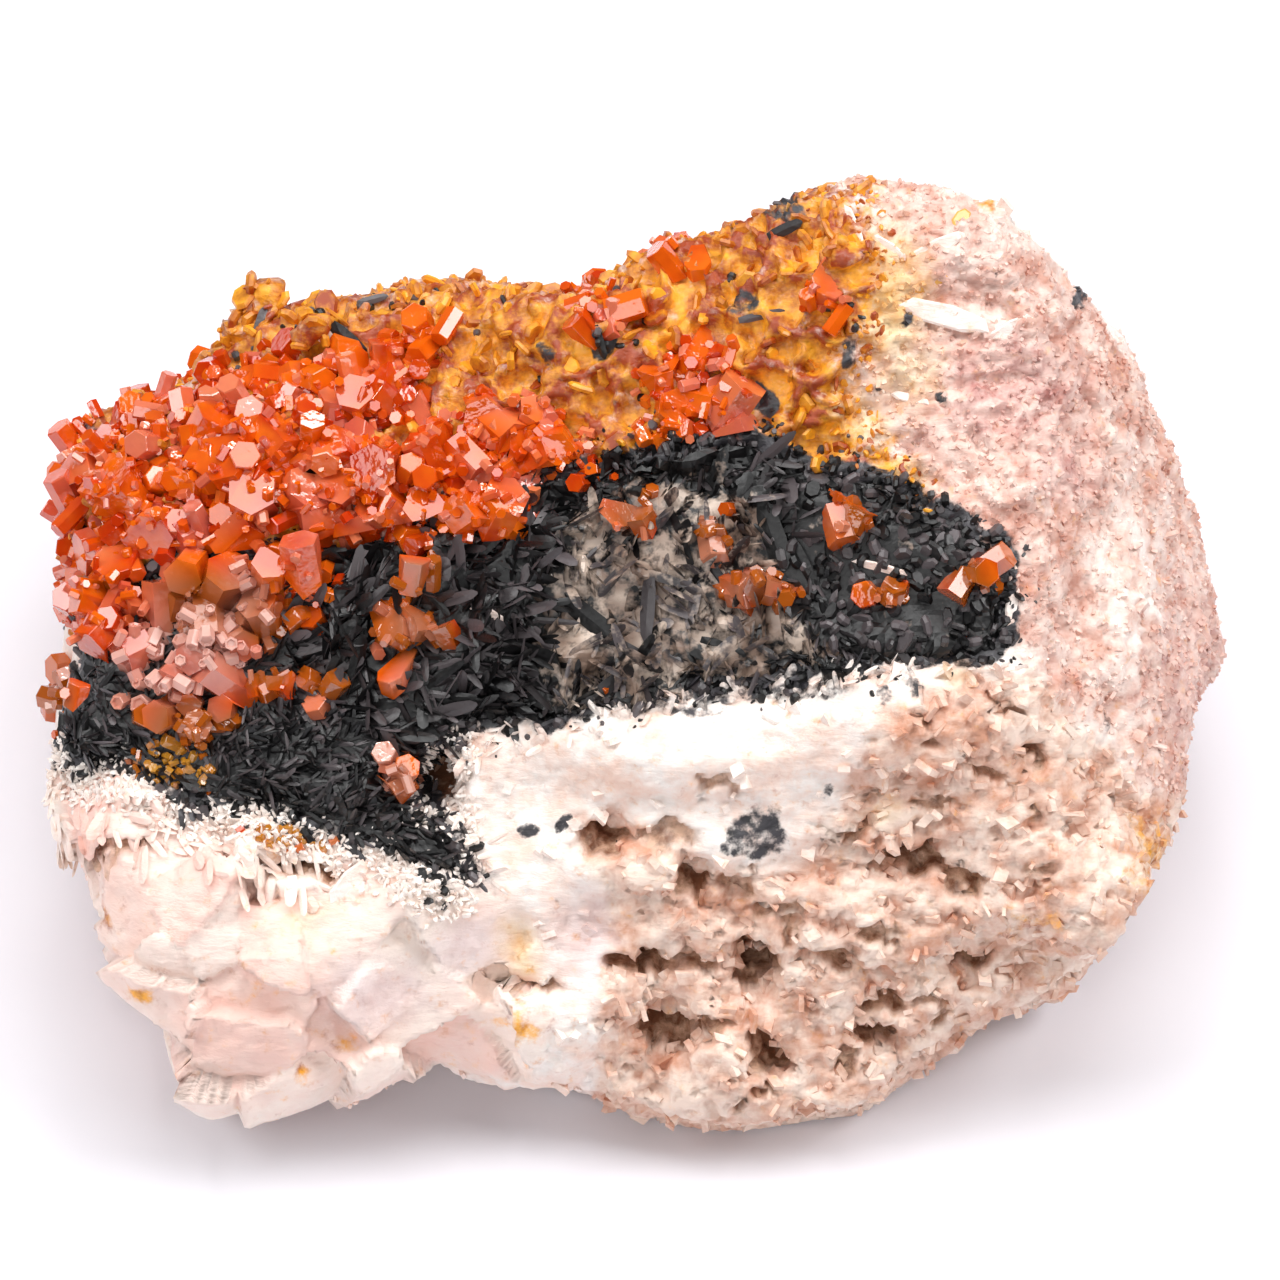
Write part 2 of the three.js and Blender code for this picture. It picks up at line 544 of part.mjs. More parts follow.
const specimen = new THREE.Group();
specimen.add(meshOf("barite_matrix", matrix, BARITE));
specimen.add(meshOf("black_blade_crust", crust, BLACK_BLADES));
const [mainCrystals, ...looseCrystals] = crystalBodies;
specimen.add(meshOf("vanadinite_main_mass", mainCrystals, VANADINITE));
looseCrystals.forEach((body, i) => {
  specimen.add(meshOf(`vanadinite_cluster_${i + 1}`, body, VANADINITE.clone()));
});

export default specimen;
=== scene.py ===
"""Vanadinite on barite: red hexagonal crystals on a lump of barite with a band of black blades.

The solids of the frame give the lump, the black crust and the leading crystals. This script gives them
their broken, sugary and bladed surfaces, grows the small crystals that the solids leave out, and sets
the lump on a pale floor under soft light.
"""

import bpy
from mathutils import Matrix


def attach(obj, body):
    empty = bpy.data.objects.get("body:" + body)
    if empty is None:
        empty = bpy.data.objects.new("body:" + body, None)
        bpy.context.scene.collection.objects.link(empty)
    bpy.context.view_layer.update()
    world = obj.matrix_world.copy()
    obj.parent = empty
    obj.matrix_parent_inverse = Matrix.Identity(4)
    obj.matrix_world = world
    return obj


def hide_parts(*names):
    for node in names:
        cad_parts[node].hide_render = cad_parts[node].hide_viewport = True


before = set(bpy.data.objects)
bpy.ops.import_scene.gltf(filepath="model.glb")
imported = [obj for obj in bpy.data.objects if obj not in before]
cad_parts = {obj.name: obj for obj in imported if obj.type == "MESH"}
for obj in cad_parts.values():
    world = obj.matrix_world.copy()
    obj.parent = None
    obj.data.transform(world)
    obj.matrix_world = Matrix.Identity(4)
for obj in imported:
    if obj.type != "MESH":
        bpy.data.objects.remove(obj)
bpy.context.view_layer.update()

import math
from functools import partial

import bmesh
import bpy
import numpy as np
from bpy.props import FloatProperty, FloatVectorProperty, PointerProperty
from mathutils import Vector, noise
from mathutils.bvhtree import BVHTree

bl_info = {
    "name": "Vanadinite on barite",
    "version": (1, 0, 0),
    "blender": (4, 5, 0),
    "location": "View3D > Sidebar > Mineral",
    "description": "Dresses the solids of a vanadinite specimen with its crystals, blades and barite",
    "category": "Object",
}

BODY = "root"
MM = 0.001
WANDER_SEED = 7               # of the noise that lets the edges wander, which starts from the clock otherwise
VANADINITE_NODES = sorted(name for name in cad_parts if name.startswith("vanadinite"))

# The line of sight of the photograph: level with +Y in plan and this far above the floor.
SIGHT_ANGLE = math.radians(50)
RIGHT = np.array((1.0, 0.0, 0.0))
UP = np.array((0.0, math.sin(SIGHT_ANGLE), math.cos(SIGHT_ANGLE)))
TOWARDS = np.array((0.0, -math.cos(SIGHT_ANGLE), math.sin(SIGHT_ANGLE)))
ORIGIN_BELOW = 12.0           # mm the frame's origin lies below the picture's centre
PIXELS_PER_MM = 17.5
PICTURE_CENTRE = 640.0        # pixels from the left and from the top
PICTURE_WIDTH = 1280.0

# Kinds of node that the trees below use again and again, some with the setting that goes with them.
NOISE, CELLS, RAMP = "ShaderNodeTexNoise", "ShaderNodeTexVoronoi", "ShaderNodeValToRGB"
MATH, VECTOR, RANGE = "ShaderNodeMath", "ShaderNodeVectorMath", "ShaderNodeMapRange"
MARK, BUMP = "ShaderNodeAttribute", "ShaderNodeBump"
PRINCIPLED, OUTPUT = "ShaderNodeBsdfPrincipled", "ShaderNodeOutputMaterial"
STORE = "GeometryNodeStoreNamedAttribute", {"data_type": "FLOAT"}
TIMES, PLUS, MINUS, TIMES_PLUS = [
    (MATH, {"operation": name}) for name in ("MULTIPLY", "ADD", "SUBTRACT", "MULTIPLY_ADD")]
SCALED, SHIFTED, APART, STRETCHED, DOT = [
    (VECTOR, {"operation": name}) for name in ("SCALE", "ADD", "SUBTRACT", "MULTIPLY", "DOT_PRODUCT")]
BLEND = "ShaderNodeMix", {"data_type": "RGBA"}
EASED = RANGE, {"interpolation_type": "SMOOTHSTEP"}
TURN = "ShaderNodeVectorRotate", {"rotation_type": "AXIS_ANGLE"}
FIELD = "GeometryNodeInputNamedAttribute", {"data_type": "FLOAT"}
DRAW = "FunctionNodeRandomValue", {"data_type": "FLOAT"}

# Outlines of the kinds of ground, in pixels of the photograph.
OCHRE_RIM = [
    (60, 400), (180, 380), (262, 260), (345, 285), (440, 280), (600, 290), (640, 250), (700, 225),
    (790, 185), (860, 200), (880, 262), (865, 330), (850, 400), (870, 450), (915, 485), (950, 520),
    (840, 500), (800, 480), (700, 480), (600, 470), (530, 500), (420, 540), (330, 560), (150, 590),
    (75, 620), (60, 560),
]
PINK_FLANK = [
    (790, 165), (960, 180), (1050, 270), (1140, 350), (1225, 470), (1255, 640), (1200, 800), (1120, 800),
    (1030, 690), (985, 580), (970, 540), (915, 515), (860, 480), (830, 420), (830, 330), (850, 240),
]
CREAM_MASSES = [
    (20, 770), (130, 770), (200, 820), (330, 835), (400, 865), (470, 880), (530, 900), (545, 1000),
    (530, 1075), (440, 1070), (340, 1140), (190, 1120), (100, 1000), (80, 900), (20, 830),
]
CAVERNS = [
    (575, 815), (640, 820), (700, 860), (800, 870), (850, 800), (880, 715), (950, 668), (1030, 675),
    (1085, 735), (1130, 790), (1200, 790), (1150, 900), (1110, 980), (1040, 1030), (900, 1110), (720, 1170),
    (600, 1120), (600, 1000), (620, 940), (590, 880),
]
BLACK_BAND = [
    (40, 745), (60, 690), (75, 620), (150, 590), (330, 560), (420, 545), (530, 500), (600, 470), (720, 460),
    (760, 440), (800, 470), (830, 462), (870, 480), (940, 520), (990, 540), (1000, 580), (985, 650),
    (930, 665), (860, 650), (740, 680), (650, 690), (560, 710), (480, 720), (440, 745), (408, 785),
    (425, 830), (475, 875), (440, 880), (390, 850), (330, 820), (260, 800), (190, 800), (120, 760),
    (60, 770),
]
TAN_BED = [
    (550, 520), (600, 480), (690, 470), (770, 490), (800, 600), (850, 655), (740, 690), (640, 702),
    (545, 715), (530, 630),
]
BROAD_LEAVES = [
    (280, 620), (400, 550), (530, 510), (760, 470), (800, 560), (780, 680), (560, 720), (440, 740),
    (300, 700),
]
FEATHERS = [
    (30, 775), (130, 775), (200, 830), (330, 840), (400, 870), (330, 900), (250, 880), (130, 850),
    (40, 850),
]
BLACK_LUMPS = [(790, 460), (880, 470), (1010, 530), (1010, 670), (840, 670), (780, 560)]

# Patches in pixels: centre, half width, half height, strength.
RED_PATCHES = [
    (190, 480, 132, 68, 1.0), (400, 490, 145, 58, 1.0), (310, 405, 115, 50, 0.9), (510, 445, 70, 48, 0.9),
    (105, 590, 36, 64, 0.9), (690, 395, 62, 46, 0.8), (605, 310, 30, 16, 0.7), (825, 300, 22, 22, 0.6),
    (660, 250, 30, 16, 0.3), (580, 455, 26, 34, 0.6), (300, 580, 40, 34, 0.8), (430, 345, 40, 22, 0.5),
]
BROWN_PATCHES = [
    (235, 610, 76, 40, 0.9), (420, 580, 18, 24, 0.7), (415, 640, 40, 30, 0.8), (265, 680, 24, 14, 0.7),
    (325, 692, 24, 12, 0.6), (195, 722, 46, 22, 0.8), (60, 700, 16, 26, 0.4), (760, 588, 40, 18, 0.8),
    (640, 515, 20, 22, 0.5), (715, 530, 24, 30, 0.6), (850, 522, 20, 18, 0.7), (885, 592, 26, 12, 0.7),
    (965, 585, 20, 24, 0.6), (605, 697, 14, 12, 0.4), (400, 776, 18, 18, 0.6),
]
FROSTED_PATCHES = [
    (190, 655, 66, 34, 1.0), (155, 690, 34, 20, 0.8), (245, 610, 26, 22, 0.8), (400, 680, 14, 12, 0.8),
    (400, 776, 16, 16, 0.6),
]
GOLDEN_PATCHES = [(180, 768, 40, 26, 1.0), (290, 838, 44, 12, 0.7)]
ROSE_PATCHES = [
    (1000, 395, 90, 62, 1.0), (1180, 660, 60, 110, 0.8), (900, 440, 60, 40, 0.6), (1060, 470, 40, 40, 0.9),
]
PALE_PATCHES = [(1130, 590, 70, 130, 0.6), (1100, 745, 60, 60, 0.6), (960, 215, 60, 30, 0.4)]
LILAC_PATCHES = [
    (600, 940, 60, 60, 0.9), (375, 990, 60, 40, 0.9), (470, 945, 50, 34, 0.8), (640, 1080, 90, 50, 0.5),
]
HONEY_PATCHES = [
    (520, 950, 24, 36, 0.6), (310, 915, 60, 26, 0.4), (835, 430, 50, 56, 0.9), (890, 480, 44, 24, 0.9),
    (885, 300, 44, 80, 0.8), (905, 380, 50, 50, 0.5), (950, 670, 24, 14, 0.5), (890, 800, 24, 16, 0.4),
    (1150, 850, 30, 40, 0.4),
]
RUST_PATCHES = [
    (145, 990, 10, 7, 0.9), (300, 1078, 10, 10, 1.0), (520, 1020, 20, 18, 0.8), (525, 960, 7, 8, 0.6),
    (107, 918, 10, 13, 0.8), (1150, 850, 26, 40, 0.6), (985, 205, 14, 12, 0.9), (1025, 918, 36, 16, 0.5),
    (960, 640, 14, 10, 0.5), (340, 1040, 20, 10, 0.5), (265, 842, 26, 8, 0.5),
]
BLACK_SPOTS = [
    (765, 830, 34, 26, 0.62), (735, 845, 16, 10, 0.62), (525, 830, 8, 9, 0.7), (556, 818, 10, 10, 0.7),
    (875, 700, 10, 12, 0.6), (790, 690, 70, 10, 0.5), (640, 700, 90, 10, 0.55), (905, 690, 10, 14, 0.6),
    (850, 350, 7, 22, 0.75), (940, 397, 9, 7, 0.75), (905, 315, 9, 8, 0.7), (762, 404, 11, 12, 0.9),
    (1075, 300, 10, 14, 0.7), (790, 225, 30, 16, 0.6), (750, 315, 18, 12, 0.6), (600, 345, 10, 18, 0.8),
    (560, 360, 9, 8, 0.6), (830, 790, 8, 8, 0.5), (90, 440, 16, 10, 0.7), (1100, 720, 8, 14, 0.5),
]

CRYSTAL_PATCHES = RED_PATCHES, BROWN_PATCHES, FROSTED_PATCHES, GOLDEN_PATCHES

STAIN_FADE = (1.7, 0.0)       # stains fade from their middle to well outside their patch
SPECK_CLOUD = 1.0             # mm, size of the finest clouds of stain, which give the specks too
SOFTENING = 4                 # passes that round the facets of a remeshed solid
IN_VIEW = 0.12                # faces turned to the camera by more than this get the finer mesh
FOOT_REACH, FOOT_DEPTH = 1.5, 0.3          # mm a crystal's foot looks for the ground, and goes into it
BLADE_GAP, BLADE_THICKNESS = 0.08, 0.18    # mm of the blades that are laid singly
AIM_NEARER = 18.0             # mm from the origin towards the camera, where the picture has its scale
SENSOR = 36.0                 # mm, width of the camera's sensor

# The larger hollows in pixels: centre, half width, half height, and depth in mm.
HOLLOWS = [
    (438, 788, 28, 27, 6.0), (715, 785, 22, 6, 0.9), (612, 838, 28, 17, 2.2), (672, 838, 28, 15, 1.0),
    (690, 888, 15, 24, 1.7), (738, 884, 20, 12, 1.1), (854, 832, 25, 9, 1.4), (912, 858, 38, 19, 2.3),
    (967, 884, 20, 15, 1.9), (788, 931, 12, 8, 1.0), (878, 930, 25, 13, 1.4), (645, 968, 32, 14, 2.3),
    (700, 962, 22, 13, 1.7), (757, 968, 25, 21, 2.3), (835, 960, 21, 13, 1.6), (965, 960, 22, 15, 1.9),
    (882, 1003, 28, 10, 1.7), (936, 1006, 17, 7, 1.1), (668, 1030, 28, 20, 2.6), (712, 1028, 15, 11, 1.6),
    (764, 1060, 17, 20, 2.0), (875, 1036, 24, 13, 1.9), (755, 1100, 15, 8, 1.3), (842, 1062, 13, 9, 1.1),
    (1026, 812, 9, 7, 1.0), (1042, 867, 16, 6, 0.9), (290, 874, 42, 13, 2.2), (110, 850, 40, 12, 1.2),
    (930, 800, 22, 8, 0.9), (985, 770, 16, 10, 0.8), (1032, 758, 11, 14, 1.3), (925, 738, 16, 8, 0.9),
    (1000, 706, 12, 8, 0.9), (535, 985, 26, 9, 1.2), (770, 910, 30, 8, 1.0),
]

# Dents of the flank, as the hollows but without their tan stain and painted shade. Bosses are negative.
DENTS = [
    (1072, 430, 26, 34, 1.4), (1086, 335, 16, 60, 0.9), (1062, 615, 18, 66, 1.0), (1012, 490, 24, 28, -0.9),
    (1135, 560, 44, 80, -0.8), (960, 300, 60, 16, 0.7), (1000, 385, 40, 14, 0.7), (1180, 640, 16, 50, 0.8),
]

# Single blades in pixels: from, to, then width in mm and how far they lean about their length.
PALE_BLADES = [
    (846, 205, 864, 264, 0.8, 0.5), (905, 262, 964, 236, 0.9, 0.3), (898, 303, 988, 332, 1.4, 0.3),
    (431, 571, 458, 556, 0.7, 0.2), (472, 606, 505, 622, 0.8, 0.2), (520, 531, 556, 582, 0.5, 0.9),
    (302, 310, 346, 342, 1.9, 0.2), (1014, 566, 1004, 630, 0.8, 0.1), (890, 394, 928, 406, 0.6, 0.3),
    (850, 560, 905, 575, 0.6, 0.5), (985, 340, 1030, 318, 0.8, 0.3), (870, 236, 905, 262, 0.7, 0.3),
    (560, 1010, 640, 1000, 0.8, 0.2), (330, 900, 372, 860, 1.3, 0.4), (262, 905, 268, 862, 1.2, 0.6),
]
HONEY_BLADES = [(912, 292, 946, 278, 0.8, 0.3), (950, 228, 968, 214, 0.9, 0.4)]
CHARCOAL_BLADES = [
    (566, 599, 622, 644, 1.2, 0.2), (575, 506, 612, 552, 1.3, 0.4), (650, 577, 646, 642, 0.9, 0.6),
    (758, 500, 784, 570, 1.5, 0.3), (669, 510, 696, 584, 1.0, 0.6), (300, 650, 352, 676, 1.5, 0.2),
    (517, 646, 572, 664, 1.0, 0.3), (430, 598, 500, 594, 0.7, 0.5), (440, 660, 500, 640, 1.0, 0.3),
    (505, 560, 560, 612, 0.8, 0.7), (610, 640, 660, 668, 0.9, 0.4), (380, 600, 440, 620, 0.8, 0.4),
    (330, 322, 366, 354, 0.9, 0.3), (250, 348, 260, 302, 0.8, 0.3), (596, 326, 606, 360, 0.6, 0.3),
    (768, 238, 802, 222, 0.7, 0.3), (738, 322, 784, 312, 0.5, 0.3), (700, 640, 745, 655, 0.8, 0.4),
    (480, 690, 540, 672, 0.9, 0.3), (790, 540, 815, 590, 0.9, 0.5), (120, 424, 140, 402, 0.8, 0.4),
    (545, 640, 578, 672, 0.8, 0.5), (620, 500, 640, 560, 0.8, 0.6), (705, 560, 740, 610, 0.9, 0.5),
    (355, 300, 385, 292, 0.5, 0.2),
]


def linear(code):
    """The linear colour of an sRGB hex value."""
    parts = [int(code[i:i + 2], 16) / 255 for i in (1, 3, 5)]
    return tuple(p / 12.92 if p <= 0.04045 else ((p + 0.055) / 1.055) ** 2.4 for p in parts)


def in_view(pixels):
    """Pixels of the photograph as mm to the right of and above its centre."""
    pixels = np.asarray(pixels, float)
    return np.stack((pixels[..., 0] - PICTURE_CENTRE, PICTURE_CENTRE - pixels[..., 1]), -1) / PIXELS_PER_MM


def seen(points):
    """Where points of the frame, in mm, appear: mm to the right of and above the picture's centre."""
    return np.stack((points @ RIGHT, points @ UP - ORIGIN_BELOW), -1)


def smooth(low, high, value):
    """Runs smoothly from 0 at low to 1 at high."""
    t = np.clip((value - low) / (high - low), 0, 1)
    return t * t * (3 - 2 * t)


def wander(points, size):
    """A smooth random vector for each point, of about one mm, that changes over the size in mm."""
    noise.seed_set(WANDER_SEED)
    return np.array([noise.noise_vector(Vector(p) / size) for p in points])


def outline_distance(points, outline):
    """Signed distance in mm of points in the picture from a closed outline, negative inside it."""
    corners = in_view(outline)
    nearest = np.full(len(points), np.inf)
    inside = np.zeros(len(points), bool)
    for start, end in zip(corners, np.roll(corners, -1, axis=0)):
        edge = end - start
        along = np.clip(((points - start) @ edge) / (edge @ edge), 0, 1)
        nearest = np.minimum(nearest, np.linalg.norm(points - start - along[:, None] * edge, axis=1))
        crosses = (start[1] > points[:, 1]) != (end[1] > points[:, 1])
        rise = edge[1] if edge[1] else 1.0
        inside ^= crosses & (points[:, 0] < edge[0] * (points[:, 1] - start[1]) / rise + start[0])
    return np.where(inside, -nearest, nearest)


def within(points, outline, soft):
    """1 well inside an outline of the picture and 0 well outside it."""
    return smooth(soft, -soft, outline_distance(points, outline))


def patch_weight(points, patches, outer=1.25, inner=0.7):
    """The strongest of some patches at points in the picture, fading from the inner to the outer share."""
    best = np.zeros(len(points))
    for x, y, half_width, half_height, strength in patches:
        offset = (points - in_view((x, y))) * PIXELS_PER_MM / (half_width, half_height)
        best = np.maximum(best, strength * smooth(outer, inner, np.linalg.norm(offset, axis=1)))
    return best


def add(tree, kind, inputs=None, **settings):
    """Adds a node with its settings. An input takes a value, a socket, or a node for its first output."""
    kind, usual = kind if isinstance(kind, tuple) else (kind, {})
    node = tree.nodes.new(kind)
    for name, value in {**usual, **settings}.items():
        setattr(node, name, value)
    for key, value in (inputs or {}).items():
        named = [s for s in node.inputs if s.enabled and s.name == key]
        socket = named[0] if named else node.inputs[key]
        if isinstance(value, bpy.types.Node):
            value = next(s for s in value.outputs if s.enabled)
        if isinstance(value, bpy.types.NodeSocket):
            tree.links.new(value, socket)
        else:
            socket.default_value = (*value, 1.0) if socket.type == "RGBA" else value
    return node


def points_of(mesh):
    """A mesh's vertices in mm and their normals."""
    places = np.empty(len(mesh.vertices) * 3)
    mesh.vertices.foreach_get("co", places)
    normals = np.empty(len(mesh.vertices) * 3)
    mesh.vertex_normals.foreach_get("vector", normals)
    return places.reshape(-1, 3) / MM, normals.reshape(-1, 3)


def along_surface(normals, course):
    """The course laid into the surface at each normal, of unit length."""
    lie = np.cross(np.cross(normals, course), normals)
    return lie / np.maximum(np.linalg.norm(lie, axis=1, keepdims=True), 1e-6)


def keep(mesh, **values):
    """Stores one number, or one vector, for each vertex under each name."""
    for name, value in values.items():
        vector = np.ndim(value) == 2
        old = mesh.attributes.get(name)
        if old:
            mesh.attributes.remove(old)
        layer = mesh.attributes.new(name, "FLOAT_VECTOR" if vector else "FLOAT", "POINT")
        data = np.broadcast_to(value, (len(mesh.vertices), 3) if vector else len(mesh.vertices))
        layer.data.foreach_set("vector" if vector else "value", np.array(data, np.float32).ravel())


def mark_of(mesh, name):
    """The numbers that a mesh keeps under a name, or zeros."""
    values = np.zeros(len(mesh.vertices), np.float32)
    if name in mesh.attributes:
        mesh.attributes[name].data.foreach_get("value", values)
    return values


def object_of(name, mesh):
    """A new object at the origin that shows a mesh."""
    made = bpy.data.objects.new(name, mesh)
    bpy.context.scene.collection.objects.link(made)
    return made


def applied(obj):
    """The mesh that an object's modifiers give. The object is removed."""
    bpy.context.view_layer.update()
    graph = bpy.context.evaluated_depsgraph_get()
    shown = obj.evaluated_get(graph)
    mesh = bpy.data.meshes.new_from_object(shown, preserve_all_data_layers=True, depsgraph=graph)
    bpy.data.objects.remove(obj)
    return mesh


def mesh_named(name):
    """The mesh of a piece that is already made."""
    return bpy.data.objects[name].data


def node_copy(name):
    """A copy of a solid's mesh with its triangles joined."""
    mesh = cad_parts[name].data.copy()
    mesh.materials.clear()
    shape = bmesh.new()
    shape.from_mesh(mesh)
    bmesh.ops.remove_doubles(shape, verts=shape.verts, dist=1e-6)
    for layer in list(shape.loops.layers.uv.values()):
        shape.loops.layers.uv.remove(layer)
    shape.to_mesh(mesh)
    shape.free()
    return mesh


def remeshed(mesh, cell):
    """A mesh of even cells over a closed shape, its facets rounded by a few smoothing passes."""
    work = object_of("remesh", mesh)
    grid = work.modifiers.new("Cells", "REMESH")
    grid.mode = "VOXEL"
    grid.voxel_size = cell
    soft = work.modifiers.new("Soften", "SMOOTH")
    soft.factor = 0.5
    soft.iterations = SOFTENING
    return applied(work)


def refined(mesh, chosen):
    """A mesh whose chosen faces are cut in four."""
    shape = bmesh.new()
    shape.from_mesh(mesh)
    shape.faces.ensure_lookup_table()
    edges = dict.fromkeys(edge for i in np.flatnonzero(chosen) for edge in shape.faces[i].edges)
    bmesh.ops.subdivide_edges(shape, edges=list(edges), cuts=1, use_grid_fill=True)
    shape.to_mesh(mesh)
    shape.free()
    return mesh


def tree_of(*meshes):
    """A search tree over some meshes."""
    places, faces = [], []
    for mesh in meshes:
        base = len(places)
        places += [v.co for v in mesh.vertices]
        faces += [[base + i for i in p.vertices] for p in mesh.polygons]
    return BVHTree.FromPolygons(places, faces)


def distance_to(points, names, reach):
    """Distance in mm of points from the nearest of some solids, no further than the reach."""
    tree = tree_of(*[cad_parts[name].data for name in names])
    found = [tree.find_nearest(Vector(p) * MM, reach * MM)[3] for p in points]
    return np.array([reach if d is None else d / MM for d in found])


def finish_piece(name, mesh, slot, *nodes):
    """Shows a finished mesh as a piece of the body and hides the solids it stands for. The slot is not used."""
    piece = object_of(name, mesh)
    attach(piece, BODY)
    if nodes:
        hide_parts(*nodes)


def joined(meshes, *marks):
    """One mesh made of several, with their materials and the marks named."""
    places, faces, slots, materials, values = [], [], [], [], {mark: [] for mark in marks}
    for mesh in meshes:
        base = len(places)
        places += [v.co for v in mesh.vertices]
        own = [m for m in mesh.materials if m not in materials]
        materials += own
        for face in mesh.polygons:
            faces.append([base + i for i in face.vertices])
            slots.append(materials.index(mesh.materials[face.material_index]) if mesh.materials else 0)
        for mark in marks:
            values[mark].append(mark_of(mesh, mark))
    whole = bpy.data.meshes.new(meshes[0].name)
    whole.from_pydata(places, [], faces)
    for material in materials:
        whole.materials.append(material)
    whole.polygons.foreach_set("material_index", slots)
    keep(whole, **{mark: np.concatenate(parts) for mark, parts in values.items()})
    return whole


def mesh_of(name, places, faces):
    """A mesh from places and faces, its faces turned outwards."""
    mesh = bpy.data.meshes.new(name)
    mesh.from_pydata(places, [], faces)
    shape = bmesh.new()
    shape.from_mesh(mesh)
    bmesh.ops.recalc_face_normals(shape, faces=shape.faces)
    shape.to_mesh(mesh)
    shape.free()
    return mesh


def length(name, description, mm):
    """A setting for a length, given in mm."""
    return FloatProperty(name=name, description=description, default=mm * MM, unit="LENGTH")


def colour(name, description, code):
    """A setting for a colour, given as an sRGB hex value."""
    return FloatVectorProperty(name=name, description=description, default=linear(code), subtype="COLOR")


class BariteSettings(bpy.types.PropertyGroup):
    """Sizes and colours of the barite."""
    cell: length("Cell", "Edge of the cells of the rock's mesh, halved where it is in view", 0.58)
    roughness: length("Roughness", "Height of the broken surface", 0.75)
    grain: length("Grain", "Height of the sugary grain", 0.22)
    pit_depth: length("Pit depth", "Depth of the small pits between the large hollows", 0.8)
    flake: length("Flake", "Rise of the cleaved flakes, per mm", 0.6)
    fold: length("Fold", "Height of the walls of the ochre rim", 1.0)
    white_light: colour("White, light", "Fresh barite", "#FDF3EC")
    white_dark: colour("White, dark", "Fresh barite where it is tinted", "#F5D5C5")
    pink_light: colour("Pink, light", "Sugary flank", "#F3D6CA")
    pink_dark: colour("Pink, dark", "Sugary flank where it is tinted", "#D0937F")
    rose_light: colour("Rose, light", "Reddened flank", "#EFCBC0")
    rose_dark: colour("Rose, dark", "Reddened flank where it is deepest", "#BD827A")
    cream_light: colour("Cream, light", "Cleaved masses", "#FDECE1")
    cream_dark: colour("Cream, dark", "Cleaved masses where they turn pink", "#F6CCBF")
    lilac_light: colour("Lilac, light", "Glassy cleaved masses", "#F6E3E0")
    lilac_dark: colour("Lilac, dark", "Glassy cleaved masses in the depth", "#DDBDB6")
    cave_light: colour("Cavern, light", "Walls of the caverns", "#F8DFCF")
    cave_dark: colour("Cavern, dark", "Walls of the caverns where they are stained", "#D69C80")
    honey_light: colour("Honey, light", "Barite with a little iron", "#F8DCA8")
    honey_dark: colour("Honey, dark", "Barite with more iron", "#EBB162")
    ochre_light: colour("Ochre, light", "Iron-stained rim", "#FFB228")
    ochre_dark: colour("Ochre, dark", "Iron-stained rim where it is brown", "#A03C00")
    # The colours of the hollows: a tan stain, with painted shade that darkens them in their depths.
    pit_light: colour("Hollow, light", "Mouths of the hollows", "#E2BB9F")
    pit_dark: colour("Hollow, dark", "Depths of the hollows", "#8A5A3E")
    black_light: colour("Black, light", "Manganese stain", "#3B383D")
    black_dark: colour("Black, dark", "Manganese stain where it is thick", "#19181B")
    speck: colour("Speck", "Specks of black oxide", "#5A4038")


class CrustSettings(bpy.types.PropertyGroup):
    """Sizes and colours of the black band."""
    cell: length("Cell", "Edge of the cells of the ground under the blades", 0.4)
    needle: length("Needle", "Length of the fine blades", 1.7)
    leaf: length("Leaf", "Length of the broad blades", 3.4)
    lump: length("Lump", "Length of the knobbly grains", 1.1)
    # Black is the blades' own colour; the grey is a painted sheen for the light on their satin faces.
    black: colour("Black", "Blades in shade", "#0B0A0B")
    sheen: colour("Grey", "Blades with a satin face", "#5E5658")
    tan: colour("Tan", "Barite where the black skin is missing", "#8C7465")
    tan_light: colour("Tan, light", "The same where it is pale", "#D6C2B2")


class CrystalSettings(bpy.types.PropertyGroup):
    """Sizes and colours of the vanadinite."""
    bevel: length("Bevel", "Width of the worn edges", 0.05)
    least: length("Least", "Width of the smallest crystals", 0.4)
    middle: length("Middle", "Width that divides the small from the stout crystals", 0.95)
    most: length("Most", "Width of the stoutest small crystals", 1.9)
    red: colour("Red", "Deep crystals", "#DA3A06")
    orange: colour("Orange", "Bright crystals", "#FF7410")
    brown: colour("Brown", "Crystals low on the black band", "#BC5E16")
    golden: colour("Golden", "Crumbs at the lower left", "#DB9A34")
    # The frosted colour is also painted on some crystals as their pink reflection.
    frost: colour("Frosted", "Etched crystals", "#F2B8A8")


class StageSettings(bpy.types.PropertyGroup):
    """Camera, floor and light."""
    distance: FloatProperty(name="Distance", description="Camera to specimen", default=0.6, unit="LENGTH")
    floor: colour("Floor", "Colour of the floor", "#EAE9EF")


class SpecimenSettings(bpy.types.PropertyGroup):
    """All settings of the specimen."""
    barite: PointerProperty(type=BariteSettings)
    crust: PointerProperty(type=CrustSettings)
    crystals: PointerProperty(type=CrystalSettings)
    stage: PointerProperty(type=StageSettings)


def surface_material(name):
    """A new material, the function that adds nodes to its empty tree, and coordinates in mm."""
    material = bpy.data.materials.new(name)
    material.use_nodes = True
    material.node_tree.nodes.clear()
    put = partial(add, material.node_tree)
    place = put("ShaderNodeTexCoord").outputs["Object"]
    return material, put, put(SCALED, {0: place, "Scale": 1 / MM})


